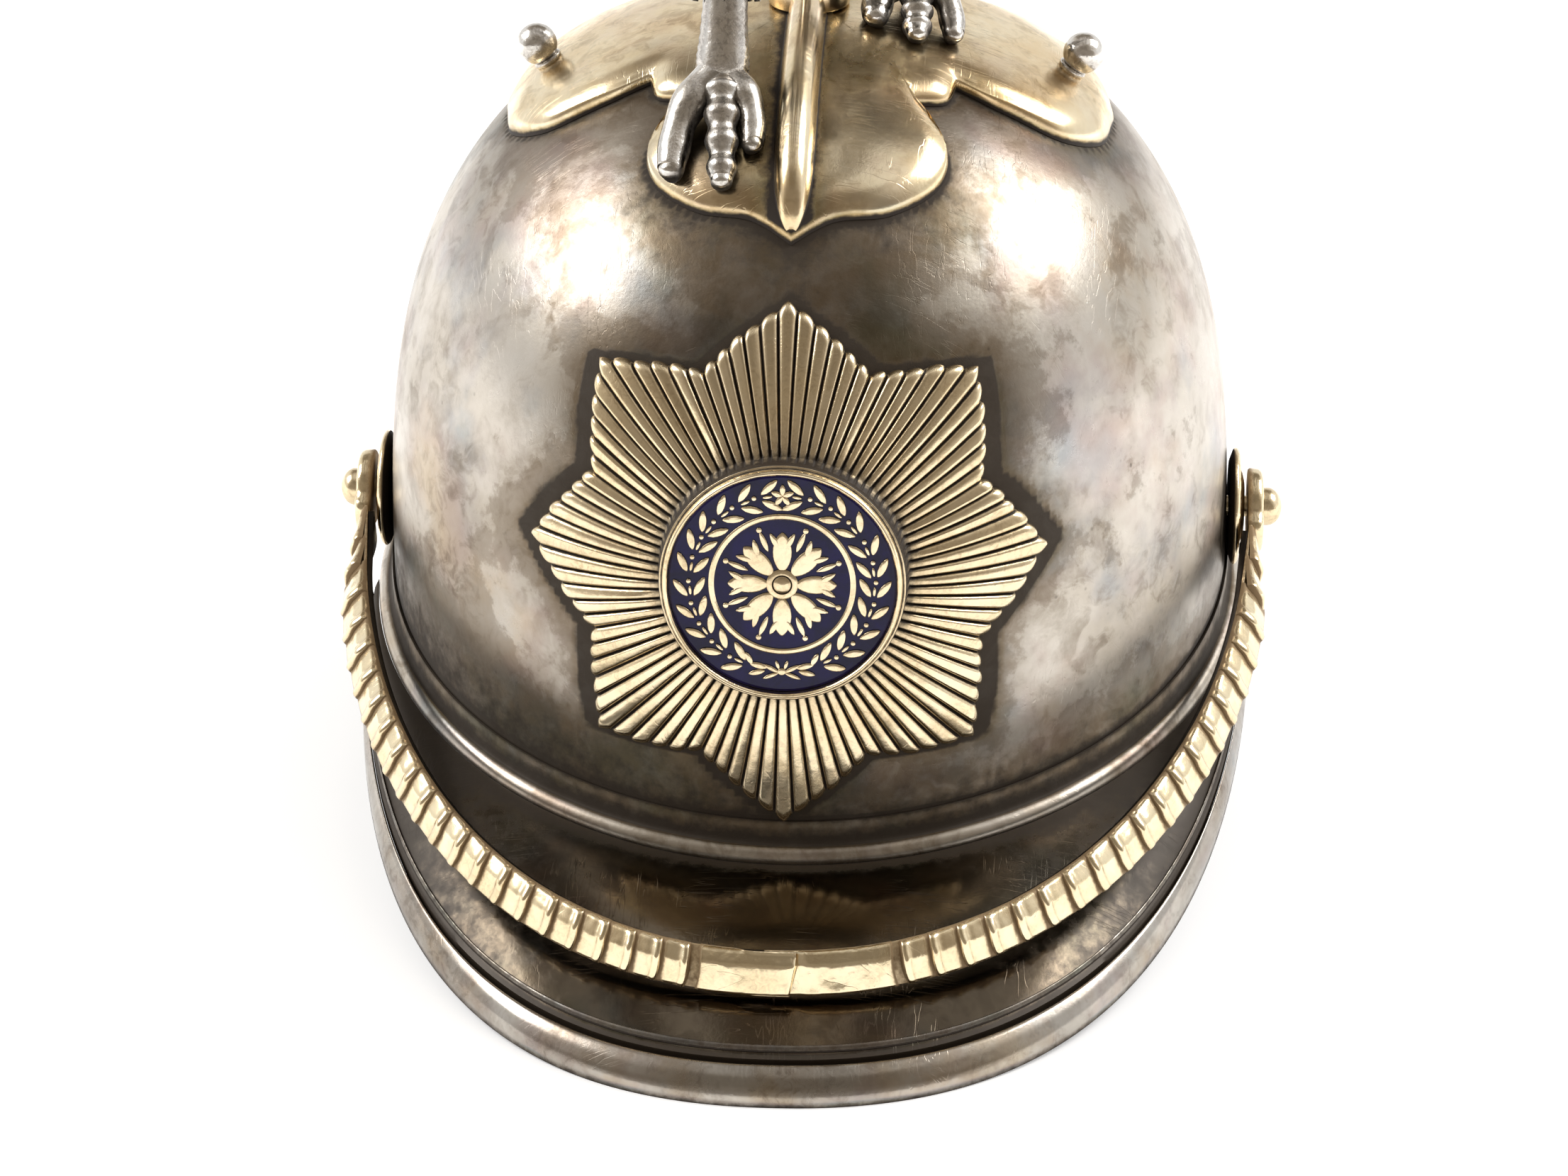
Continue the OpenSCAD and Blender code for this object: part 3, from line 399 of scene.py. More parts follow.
    def feather(self, root: Row, angle: float, long: float, wide: float, thick: float) -> "Shape":
        """Adds a feather that stands in the plane of X and Z.

        Args:
            root: where it grows.
            angle: its direction in degrees from X towards Z.
            long: its length.
            wide: its greatest width.
            thick: its thickness at the shaft.

        Returns:
            The shape itself.
        """
        f = (np.linspace(0, 1, 34) ** 0.85)[:, None]
        v = np.linspace(-1, 1, 15)[None]
        y = v * wide / 2 * (0.45 + 0.55 * np.sin(np.radians(150 * f))) * np.sqrt(
            np.maximum(1 - share((f - 0.78) / 0.22) ** 2.2, 0.004))
        rise = thick / 2 * (0.28 + 0.62 * (1 - np.abs(v) ** 1.8))
        rise = rise + 0.12 * bell(y / 0.2) * (1 - f) - 0.1 * bell(y / 0.32)
        a = math.radians(angle)
        flat = np.stack([root[0] + long * f * math.cos(a) - y * math.sin(a), root[1] + 0 * y,
                         root[2] + long * f * math.sin(a) + y * math.cos(a)], -1)
        out = rise[..., None] * (0, -1.0, 0)
        self.plate(flat + out, flat - out, 0.55 * np.exp(-f * 3) + 0.5 * np.abs(v) ** 6)
        blade = np.stack([long * f / 2.5 + 0 * v, y / 2.5, 0 * y], -1).reshape(-1, 3)
        self.blade[-1] = np.concatenate([blade, blade])
        self.recess[-1][y.size:] = self.recess[-1][:y.size]
        return self

    def mesh(self, sharp: float = 40.0, scale: float = MM) -> Mesh:
        """Turns the shape into a mesh.

        Args:
            sharp: angle in degrees over which an edge stays sharp.
            scale: metres to the shape's unit.

        Returns:
            The mesh, with its recess and blade attributes.
        """
        made = bpy.data.meshes.new(self.name)
        points = np.concatenate(self.points) * scale
        made.from_pydata(points.tolist(), [], [f for block in self.faces for f in block.tolist()])
        mark(made, "recess", np.concatenate(self.recess))
        if any(np.any(b) for b in self.blade):
            mark(made, "blade", np.concatenate(self.blade))
        made.polygons.foreach_set("use_smooth", np.ones(len(made.polygons), bool))
        made.set_sharp_from_angle(angle=math.radians(sharp))
        made.update()
        return made


@dataclass(frozen=True)
class HelmetForm:
    """The sizes that the pieces share, in millimetres, and the curved surfaces that follow from them."""

    half_width: float = 32.0
    half_depth: float = 35.0
    dome_height: float = 45.2
    wall_top: float = 14.0
    wall: float = 1.0
    side_power: float = 2.22
    crown_power: float = 3.1
    base_height: float = 14.2
    base_slope: float = 0.16
    bead_radius: float = 0.95
    bead_centre: float = 0.35
    cove_height: float = 1.8
    gap: float = 0.05
    brim_reach: float = 55.1
    brim_half_width: float = 34.0
    brim_power: float = 2.22
    brim_drop: float = 0.35
    rest_run: float = 1.6
    border_width: float = 2.3
    border_height: float = 1.9
    peak_fall: float = 1.6
    neck_fall: float = 1.15
    peak_swell: float = 0.9
    peak_wall: float = 0.8
    star_height: float = 30.7
    star_reach: float = 19.2
    star_valley: float = 0.795
    seat_height: float = 1.4
    crest_wall: float = 1.2
    crest_reach: float = 24.4
    crest_spread: float = 22.5
    pivot_y: float = -1.0
    pivot_height: float = 20.6

    @property
    def apex(self) -> float:
        """Height of the dome's top."""
        return self.wall_top + self.dome_height

    @property
    def crest_top(self) -> float:
        """Height of the crest plate's face over the dome."""
        return self.gap + self.crest_wall

    def share(self, z: Number, grow: float = 0.0) -> Array:
        """Width of the dome at a height, as a share of its width at the wall."""
        rise = share((np.asarray(z, float) - self.wall_top) / (self.dome_height + grow))
        return np.power(np.maximum(1 - rise**self.crown_power, 0), 1 / self.side_power)

    def point(self, turn: Number, z: Number, grow: float = 0.0) -> Array:
        """Point of the dome, grown by a distance, at a turn in degrees and a height."""
        plan = polar(self.share(z, grow), np.radians(turn))
        return raised(plan * (self.half_width + grow, self.half_depth + grow), z)

    def over(self, x: Number, y: Number, grow: float = 0.0) -> Array:
        """Height of the dome over a point of the plan."""
        s = np.hypot(x / (self.half_width + grow), y / (self.half_depth + grow)) ** self.side_power
        return self.wall_top + (self.dome_height + grow) * np.maximum(1 - s, 0) ** (1 / self.crown_power)

    def normal(self, turn: Number, z: Number) -> Array:
        """Outward direction of the dome.

        Args:
            turn: the turn in degrees.
            z: the height.

        Returns:
            Directions 1 long.
        """
        k = self.side_power * self.share(z) ** (self.side_power - 2)
        rise = share((np.asarray(z, float) - self.wall_top) / self.dome_height)
        up = self.crown_power * rise ** (self.crown_power - 1) / self.dome_height
        return unit(raised(self.point(turn, z)[..., :2] * k[..., None] / (self.half_width**2, self.half_depth**2), up))

    def base_line(self, y: Number) -> Number:
        """Height of the bead's middle at a depth."""
        return self.base_height + self.base_slope * y

    def base_plan(self, angle: Array) -> tuple[Array, Array]:
        """Plan of the skull's foot and the way out from it."""
        size = np.array([self.half_width, self.half_depth])
        return polar(1, angle) * size, unit(polar(1, angle) / size)

    def front_line(self, heights: Array) -> Array:
        """Distance along the skull's front line at given heights."""
        return runs(np.stack([self.half_depth * self.share(heights), heights], -1))

    def star_surface(self, plan: Array, lift: Number) -> Array:
        """Points over the skull's front.

        Args:
            plan: runs across and up from the star's centre, along the skull.
            lift: distance out from the skull.

        Returns:
            The points.
        """
        e = np.radians(np.arange(0, 81, 1.0))
        z = self.wall_top + self.dome_height * np.sin(e) ** (2 / self.crown_power)
        run = self.front_line(z)
        at = np.interp(self.star_height, z, run) + plan[..., 1]
        height = np.where(at < 0, self.wall_top + at, np.interp(at, run, z))
        turn = -90 + np.degrees(plan[..., 0] / (self.half_width * self.share(height)))
        return self.point(turn, height) + np.reshape(lift, (-1, 1)) * self.normal(turn, height)

    def star_radius(self, angle: Array) -> Array:
        """Reach of the star's outline at an angle in degrees from its top point."""
        f = np.abs(((angle + 720) / 45 + 0.5) % 1 - 0.5) * 2
        return self.star_reach / ((1 - f) + f / self.star_valley)

    def star_frame(self, lift: float) -> Array:
        """Frame over the star's centre whose Z is the way out and whose Y is up."""
        out = self.normal(-90.0, self.star_height)
        return axes((1, 0, 0), out, self.point(-90.0, self.star_height) + out * lift)

    def ear_frame(self, side: Side, lift: float = 0.0) -> Array:
        """Frame at a side rivet whose Z is the way out and whose X is up."""
        s = side.value
        return np.array([[0, 0, s, s * lift], [0, s, 0, self.pivot_y], [1, 0, 0, self.pivot_height], [0, 0, 0, 1.0]])

    def brim_root(self, turn: Array) -> Array:
        """Line where a brim leaves the bead.

        Args:
            turn: stations in degrees.

        Returns:
            The points.
        """
        foot, out = self.base_plan(np.radians(turn))
        p = foot + out * (self.bead_centre + self.bead_radius + self.gap)
        return raised(p, self.base_line(p[..., 1]) - self.brim_drop)

    def brim_edge(self, turn: Array, fall: float) -> Array:
        """Line of a brim's outer edge.

        Args:
            turn: stations in degrees.
            fall: how steeply the brim falls towards its edge.

        Returns:
            The points.
        """
        way = polar(1, np.radians(turn))
        plan = np.sign(way) * np.abs(way) ** (2 / self.brim_power) * (self.brim_half_width, self.brim_reach)
        foot, flat = self.border_height / 2, self.brim_reach - self.rest_run
        drop = np.maximum(0, (flat - np.abs(plan[..., 1])) / flat) ** fall
        return raised(plan, foot + (self.base_height - self.brim_drop - foot) * drop)

    def brim_width(self, turn: Array, fall: float) -> Array:
        """Width of a brim at a turn."""
        return np.linalg.norm(self.brim_edge(turn, fall) - self.brim_root(turn), axis=-1)

    def border_share(self, turn: Array, fall: float) -> Array:
        """Share of a brim's width that its border takes."""
        return np.minimum(self.border_width / self.brim_width(turn, fall), 0.8)

    def brim_point(self, turn: Array, part: Array, fall: float, swell: float) -> Array:
        """Point of a brim.

        Args:
            turn: stations in degrees.
            part: share of the brim's width from its root.
            fall: how steeply the brim falls towards its edge.
            swell: rise over the straight slope.

        Returns:
            The points.
        """
        a, f = self.brim_root(turn), part[..., None]
        p = a + (self.brim_edge(turn, fall) - a) * f
        slim = np.minimum(1, self.brim_width(turn, fall) / self.border_width / 4)
        p[..., 2] += swell * 4 * part * (1 - part) * slim
        return p

    def crest_outline(self, steps: int) -> Array:
        """Outline of the crest plate: tip, lobe, notch, small step, notch and side lobe, four times.

        Args:
            steps: pieces between two of its points.

        Returns:
            The plan's points.
        """
        lobe = [[0, -1], [0.13, -0.935], [0.3, -0.89], [0.44, -0.78], [0.47, -0.65], [0.36, -0.485]]
        step = [[0.36, -0.485], [0.46, -0.44], [0.49, -0.35]]
        side = [[0.49, -0.35], [0.64, -0.375], [0.83, -0.35], [0.96, -0.21], [1, 0]]
        quarter = np.concatenate([smooth_line(r, steps)[:-1] for r in (lobe, step, side)] + [[[1, 0]]])
        quarter *= (self.crest_spread, self.crest_reach)
        half = np.concatenate([quarter, quarter[-2::-1] * [1, -1]])
        return np.concatenate([half, half[-2:0:-1] * [-1, 1]])


class Tree:
    """A node tree, with short calls for its nodes and links."""

    def __init__(self, tree: bpy.types.NodeTree) -> None:
        """Takes the tree that the calls work on."""
        self.tree = tree

    @classmethod
    def blank(cls, owner: Union[Material, bpy.types.World]) -> "Tree":
        """The emptied tree of a material or of the world.

        Args:
            owner: the material or the world.

        Returns:
            The tree.
        """
        owner.use_nodes = True
        owner.node_tree.nodes.clear()
        return cls(owner.node_tree)

    @classmethod
    def group(cls, name: str, kind: str, inputs: dict[str, Union[float, str]]) -> "Tree":
        """Starts a node group that puts out a mask or a geometry.

        Args:
            name: its name.
            kind: Shader or Geometry.
            inputs: each input's value by name, or its kind where it has no value.

        Returns:
            The tree, whose given are the group's inputs.
        """
        group = bpy.data.node_groups.new(name, kind + "NodeTree")
        for label, value in inputs.items():
            word = value if isinstance(value, str) else "Int" if isinstance(value, int) else "Float"
            made = group.interface.new_socket(label, in_out="INPUT", socket_type="NodeSocket" + word)
            if word != value:
                made.default_value = value
        label, word = ("Mask", "Float") if kind == "Shader" else ("Geometry", "Geometry")
        group.interface.new_socket(label, in_out="OUTPUT", socket_type="NodeSocket" + word)
        made = cls(group)
        made.given = made.node("NodeGroupInput").outputs
        return made

    def node(self, kind: str, plugs: Optional[dict[Union[int, str], Plug]] = None, **values: object) -> bpy.types.Node:
        """Adds a node.

        Args:
            kind: its type.
            plugs: what each input is linked to or set to.
            values: its properties.

        Returns:
            The node.
        """
        made = self.tree.nodes.new(kind)
        for name, value in values.items():
            setattr(made, name, value)
        for key, value in (plugs or {}).items():
            self.plug(made.inputs[key], value)
        return made

    def plug(self, socket: Socket, value: Plug) -> None:
        """Links a socket to another, or sets its value.

        Args:
            socket: the input.
            value: a socket or a value; a colour may lack its alpha.
        """
        if isinstance(value, Socket):
            self.tree.links.new(value, socket)
        else:
            socket.default_value = (*value, 1.0) if socket.type == "RGBA" and len(value) == 3 else value

    def math(self, operation: str, a: Plug, b: Plug = 0.0, clamp: bool = False) -> Socket:
        """Adds a Math node."""
        return self.node("ShaderNodeMath", {0: a, 1: b}, operation=operation, use_clamp=clamp).outputs[0]

    def times(self, a: Plug, b: Plug, clamp: bool = False) -> Socket:
        """Multiplies."""
        return self.math("MULTIPLY", a, b, clamp)

    def plus(self, a: Plug, b: Plug, clamp: bool = False) -> Socket:
        """Adds."""
        return self.math("ADD", a, b, clamp)

    def minus(self, a: Plug, b: Plug) -> Socket:
        """Takes away."""
        return self.math("SUBTRACT", a, b)

    def vector(self, operation: str, a: Plug, b: Plug = (0.0, 0.0, 0.0)) -> Socket:
        """Adds a Vector Math node."""
        made = self.node("ShaderNodeVectorMath", {0: a, 3 if operation == "SCALE" else 1: b}, operation=operation)
        return made.outputs[operation == "LENGTH"]

    def parts(self, vector: Socket) -> bpy.types.NodeOutputs:
        """Splits a vector."""
        return self.node("ShaderNodeSeparateXYZ", {0: vector}).outputs

    def mix(self, factor: Plug, a: Plug, b: Plug, blend: str = "MIX") -> Socket:
        """Adds a colour Mix node."""
        return self.node("ShaderNodeMix", {0: factor, 6: a, 7: b}, data_type="RGBA", blend_type=blend).outputs[2]

    def span(self, value: Plug, low: float, high: float, to_low: float = 0.0, to_high: float = 1.0,
             smooth: bool = True) -> Socket:
        """Adds a Map Range node."""
        return self.node("ShaderNodeMapRange", dict(enumerate((value, low, high, to_low, to_high))),
                         interpolation_type="SMOOTHSTEP" if smooth else "LINEAR").outputs[0]

    def noise(self, vector: Plug, scale: Plug, detail: float = 4.0, rough: float = 0.55, seed: Plug = 0.0,
              colour: bool = False) -> Socket:
        """Adds a Noise Texture node."""
        return self.node("ShaderNodeTexNoise", {"Vector": vector, "W": seed, "Scale": scale, "Detail": detail,
                                                "Roughness": rough}, noise_dimensions="4D").outputs[int(colour)]

    def bump(self, height: Socket, strength: float, distance: float, normal: Optional[Socket] = None) -> Socket:
        """Adds a Bump node over another normal.

        Args:
            height: the relief.
            strength: how much of it shows; below zero it cuts in.
            distance: its depth in metres.
            normal: the normal under it.

        Returns:
            The new normal.
        """
        plugs = {"Strength": abs(strength), "Distance": distance, "Height": height}
        if normal:
            plugs["Normal"] = normal
        return self.node("ShaderNodeBump", plugs, invert=strength < 0).outputs[0]

    def read(self, name: str) -> bpy.types.NodeOutputs:
        """Reads an attribute in a material."""
        return self.node("ShaderNodeAttribute", attribute_name=name).outputs

    def named(self, name: str, kind: str = "FLOAT_VECTOR") -> Socket:
        """Reads an attribute in Geometry Nodes."""
        return self.node("GeometryNodeInputNamedAttribute", {"Name": name}, data_type=kind).outputs[0]

    def uneven(self, least: Plug, most: Plug, seed: int) -> Socket:
        """A seeded random number for each point.

        Args:
            least: the lowest.
            most: the highest.
            seed: the seed.

        Returns:
            Its socket.
        """
        made = self.node("FunctionNodeRandomValue", {"Seed": seed}, data_type="FLOAT")
        for name, value in (("Min", least), ("Max", most)):
            self.plug(next(s for s in made.inputs if s.name == name and s.type == "VALUE"), value)
        return next(s for s in made.outputs if s.type == "VALUE" and s.enabled)

    def scatter(self, points: Socket, turn: Socket, size: Plug = (1.0, 1.0, 1.0)) -> "Tree":
        """Ends a Geometry Nodes tree: puts its motif on points, makes it real and gives it its finish.

        Args:
            points: the points.
            turn: how each copy is turned.
            size: how each copy is scaled.

        Returns:
            The tree.
        """
        motif = self.node("GeometryNodeObjectInfo", {"Object": self.given["Motif"]}).outputs["Geometry"]
        copies = self.node("GeometryNodeInstanceOnPoints", {"Points": points, "Instance": motif, "Rotation": turn,
                                                            "Scale": size}).outputs[0]
        real = self.node("GeometryNodeRealizeInstances", {"Geometry": copies}).outputs[0]
        coat = self.node("GeometryNodeSetMaterial", {"Geometry": real, "Material": self.given["Finish"]}).outputs[0]
        self.node("NodeGroupOutput", {0: coat})
        return self


def baked(name: str, tree: Tree, base: Mesh, motif: Mesh, **values: object) -> Mesh:
    """Runs a Geometry Nodes tree and keeps the plain mesh that comes out.

    Args:
        name: the mesh's name.
        tree: the tree.
        base: the mesh that it starts from.
        motif: the mesh that it repeats.
        values: its other inputs, with _ for a space.

    Returns:
        The mesh.
    """
    start, sample = linked(name + "_base", base), linked(name + "_motif", motif)
    given = {"Motif": sample} | {key.replace("_", " ").title(): value for key, value in values.items()}
    nodes = start.modifiers.new("nodes", "NODES")
    nodes.node_group = tree.tree
    for item in tree.tree.interface.items_tree:
        if item.item_type == "SOCKET" and item.in_out == "INPUT" and item.name in given:
            nodes[item.identifier] = given[item.name]
    layers = bpy.context.evaluated_depsgraph_get()
    made = bpy.data.meshes.new_from_object(start.evaluated_get(layers), preserve_all_data_layers=True, depsgraph=layers)
    start.modifiers.clear()
    for each in (start, sample):
        bpy.data.objects.remove(each)
    made.name = name
    return made


class Effect(Enum):
    """The effects that several finishes share, each a node group with its inputs."""

    CLOUDS = ("Tarnish clouds", {"Scale": 150.0, "Sharpness": 0.3, "Seed": 0.0})
    # Grime in recesses, and painted shade where the recess values hold it
    DIRT = ("Dirt in recesses", {"Recess": 0.0, "Breakup": 900.0, "Amount": 1.0, "Seed": 0.0})
    SCRATCHES = ("Fine scratches", {"Scale": 300.0, "Seed": 0.0})
    SPECKS = ("Specks", {"Scale": 1500.0, "Amount": 0.4, "Seed": 0.0})


class Effects:
    """Builds each shared effect once and places it in materials."""

    def __init__(self) -> None:
        """Builds the groups."""
        makers = {Effect.CLOUDS: self._clouds, Effect.DIRT: self._dirt, Effect.SCRATCHES: self._scratches,
                  Effect.SPECKS: self._specks}
        self.groups = {}
        for effect, make in makers.items():
            t = Tree.group(effect.value[0], "Shader", {"Vector": "Vector"} | effect.value[1])
            t.node("NodeGroupOutput", {0: make(t, *t.given[:-1])})
            self.groups[effect] = t.tree

    def _clouds(self, t: Tree, at: Socket, scale: Socket, sharp: Socket, seed: Socket) -> Socket:
        """Cloudy patches with wiped edges.

        Args:
            t: the group's tree.
            at: the coordinates.
            scale: their scale.
            sharp: how sharp their edges are.
            seed: their seed.

        Returns:
            The mask.
        """
        warp = t.noise(at, t.times(scale, 0.7), 2.0, 0.5, seed, True)
        moved = t.vector("ADD", at, t.vector("SCALE", t.vector("SUBTRACT", warp, (0.5, 0.5, 0.5)), 0.006))
        soft = t.times(t.minus(1.0, sharp), 0.22)
        return t.span(t.noise(moved, scale, 7.0, 0.62, seed), t.minus(0.5, soft), t.plus(0.5, soft))

    def _dirt(self, t: Tree, at: Socket, recess: Socket, breakup: Socket, amount: Socket, seed: Socket) -> Socket:
        """Grime that fills recesses and thins out at their edges, and painted shade where the recess values hold it."""
        grain = t.times(t.noise(at, breakup, 5.0, 0.65, seed), 0.9)
        return t.times(t.span(t.minus(t.times(recess, 1.6), grain), -0.12, 0.42), amount, True)

    def _scratches(self, t: Tree, at: Socket, scale: Socket, seed: Socket) -> Socket:
        """Hairline scratches that run two ways.

        Args:
            t: the group's tree.
            at: the coordinates.
            scale: their scale.
            seed: their seed.

        Returns:
            The mask.
        """
        ways = []
        for k, stretch in enumerate(((1.0, 0.05, 0.3), (0.08, 1.0, 0.1))):
            hair = t.noise(t.vector("MULTIPLY", at, stretch), t.times(scale, 9.0 + 3 * k), 2.0, 0.5, seed)
            line = t.span(t.math("ABSOLUTE", t.minus(hair, 0.5)), 0.0, 0.012, 1.0, 0.0)
            ways.append(t.times(line, t.span(t.noise(at, scale, 1.0, 0.5, 3.0 + k), 0.5, 0.62)))
        return t.math("MAXIMUM", *ways)

    def _specks(self, t: Tree, at: Socket, scale: Socket, amount: Socket, seed: Socket) -> Socket:
        """Small round specks of corrosion.

        Args:
            t: the group's tree.
            at: the coordinates.
            scale: their scale.
            amount: how dark they are.
            seed: their seed.

        Returns:
            The mask.
        """
        cells = t.node("ShaderNodeTexVoronoi", {"Vector": at, "Scale": scale, "W": seed}, voronoi_dimensions="4D",
                       feature="F1")
        dot = t.span(cells.outputs["Distance"], 0.1, 0.28, 1.0, 0.0)
        rare = t.span(t.noise(at, t.times(scale, 0.16), 3.0, 0.6, 7.0), 0.52, 0.7)
        return t.times(t.times(dot, rare), amount)

    def place(self, t: Tree, effect: Effect, at: Plug, **values: Plug) -> Socket:
        """Places an effect in a material, with its inputs by name."""
        plugs = {"Vector": at} | {name.capitalize(): value for name, value in values.items()}
        return t.node("ShaderNodeGroup", plugs, node_tree=self.groups[effect]).outputs[0]


@dataclass(frozen=True)
class MetalFinish:
    """A worked metal: three shades, tarnish clouds, tints, darkening by its recess values that is grime and, on some
    pieces, painted shade, and fine wear.
    """

    name: str
    slot: Slot
    bright: Point
    worn: Point
    dark: Point
    dirt: Point = (0.03, 0.022, 0.016)
    smooth: float = 0.16
    rough: float = 0.36
    cloud: float = 150.0
    cloud_sharp: float = 0.3
    shade: float = 0.5
    patches: float = 0.0
    blotches: float = 0.0
    tint: float = 0.15
    dirt_and_shade_amount: float = 1.0
    dirt_and_shade_breakup: float = 1100.0
    speck: float = 0.0
    grain: float = 0.0
    grain_scale: float = 2600.0
    scratch: float = 0.15
    wobble: float = 0.0
    wobble_scale: float = 120.0
    barbs: float = 0.0
    seed: float = 0.0

    def material(self, effects: Effects) -> Material:
        """Builds the finish.

        Args:
            effects: the shared effects.

        Returns:
            The material.
        """
        made = bpy.data.materials.new(self.name)
        t, seed = Tree.blank(made), self.seed
        at = t.node("ShaderNodeTexCoord").outputs["Object"]
        recess = t.read("recess")["Fac"]
        big = effects.place(t, Effect.CLOUDS, at, scale=self.cloud, sharpness=self.cloud_sharp, seed=seed)
        fine = effects.place(t, Effect.CLOUDS, at, scale=self.cloud * 5.3, sharpness=0.1, seed=seed + 4)
        # Darkening mask from the recess values: grime in recesses, and painted shade where the values hold it
        dirt = effects.place(t, Effect.DIRT, at, recess=recess, breakup=self.dirt_and_shade_breakup, amount=self.dirt_and_shade_amount,
                             seed=seed)
        wide = t.span(t.noise(at, self.cloud * 0.33, 4.0, 0.6, seed + 11), 0.4, 0.62)
        colour = t.mix(t.times(big, 0.85), self.bright, self.worn)
        shades = [t.times(wide, self.patches)]
        if self.blotches:
            level = t.plus(t.noise(at, self.cloud * 1.5, 9.0, 0.68, seed + 13), t.times(recess, 0.8))
            shades.append(t.times(t.span(level, 0.575, 0.63), self.blotches))
        shades.append(t.times(t.span(fine, 0.35, 1.0), t.times(big, self.shade)))
        # Darker near raised recess values: on the skull this is the painted shade halo round the star and the base
        near = t.times(t.span(recess, 0.0, 0.3), t.span(fine, -0.4, 0.7, 0.55, 1.0))
        for amount in shades + [t.times(near, 1.1 * self.shade, True)]:
            colour = t.mix(amount, colour, self.dark)
        colour = t.mix(dirt, self._tinted(t, at, colour, recess), self.dirt)
        more = self.rough - self.smooth
        rough = t.plus(t.plus(t.times(big, more * 0.7), self.smooth), t.times(fine, more * 0.3))
        if self.speck:
            specks = effects.place(t, Effect.SPECKS, at, scale=1300.0, amount=self.speck, seed=seed)
            colour = t.mix(specks, colour, self.dirt)
        shader = t.node("ShaderNodeBsdfPrincipled", {
            "Base Color": colour, "Roughness": t.plus(rough, t.times(dirt, 0.4), True),
            "Metallic": t.minus(1.0, t.times(dirt, 0.75)), "Normal": self._relief(t, effects, at)})
        t.node("ShaderNodeOutputMaterial", {"Surface": shader.outputs[0]})
        return made

    def _tinted(self, t: Tree, at: Socket, colour: Socket, recess: Socket) -> Socket:
        """Adds the blue, rose and straw tints of thin tarnish.

        Args:
            t: the material's tree.
            at: the coordinates.
            colour: the metal's colour.
            recess: how deep in a recess a point lies.

        Returns:
            The tinted colour.
        """
        drift = t.noise(at, self.cloud * 0.8, 3.0, 0.6, self.seed + 9)
        hue = t.node("ShaderNodeValToRGB", {0: t.plus(t.times(drift, 0.9), t.times(recess, 0.7))})
        stops = ((0.25, (0.95, 0.86, 0.62)), (0.4, (0.86, 0.68, 0.48)), (0.5, (0.68, 0.55, 0.58)),
                 (0.6, (0.42, 0.55, 0.72)), (0.72, (0.55, 0.68, 0.6)), (0.9, (0.8, 0.72, 0.55)))
        for k, (place, shade) in enumerate(stops):
            stop = hue.color_ramp.elements[k] if k < 2 else hue.color_ramp.elements.new(place)
            stop.position, stop.color = place, (*shade, 1.0)
        amount = t.span(t.noise(at, self.cloud * 1.7, 4.0, 0.6, self.seed + 5), 0.4, 0.65)
        return t.mix(t.times(amount, self.tint), colour, hue.outputs[0], "MULTIPLY")

    def _relief(self, t: Tree, effects: Effects, at: Socket) -> Optional[Socket]:
        """Adds wobble, grain, scratches and feather barbs to the surface.

        Args:
            t: the material's tree.
            effects: the shared effects.
            at: the coordinates.

        Returns:
            The normal.
        """
        normal = None
        if self.wobble:
            normal = t.bump(t.noise(at, self.wobble_scale, 2.0, 0.5, self.seed + 2), self.wobble, 0.001)
        if self.grain:
            normal = t.bump(t.noise(at, self.grain_scale, 3.0, 0.6, self.seed + 6), self.grain, 0.00012, normal)
        if self.scratch:
            hairs = effects.place(t, Effect.SCRATCHES, at, scale=160.0, seed=self.seed)
            normal = t.bump(hairs, -self.scratch, 0.00003, normal)
        if self.barbs:
            along, across, _ = t.parts(t.read("blade")["Vector"])
            slant = t.minus(t.times(along, 7.0), t.times(t.math("ABSOLUTE", across), 5.0))
            normal = t.bump(t.math("SINE", t.times(slant, 6.28)), self.barbs, 0.00009, normal)
        return normal


@dataclass(frozen=True)
class EnamelFinish:
    """Fired enamel: deep colour, a glassy face and faint pits."""

    name: str
    slot: Slot
    deep: Point
    pale: Point
    seed: float = 0.0

    def material(self, effects: Effects) -> Material:
        """Builds the finish.

        Args:
            effects: the shared effects.

        Returns:
            The material.
        """
        made = bpy.data.materials.new(self.name)
        t = Tree.blank(made)
        at = t.node("ShaderNodeTexCoord").outputs["Object"]
        pool = effects.place(t, Effect.CLOUDS, at, scale=420.0, sharpness=0.1, seed=self.seed)
        shader = t.node("ShaderNodeBsdfPrincipled", {
            "Base Color": t.mix(pool, self.deep, self.pale), "Roughness": t.plus(0.1, t.times(pool, 0.12)),
            "IOR": 1.33, "Coat Weight": 0.1, "Coat Roughness": 0.08,
            "Normal": t.bump(t.noise(at, 900.0, 3.0, 0.5, self.seed), 0.25, 0.00008)})
        t.node("ShaderNodeOutputMaterial", {"Surface": shader.outputs[0]})
        return made


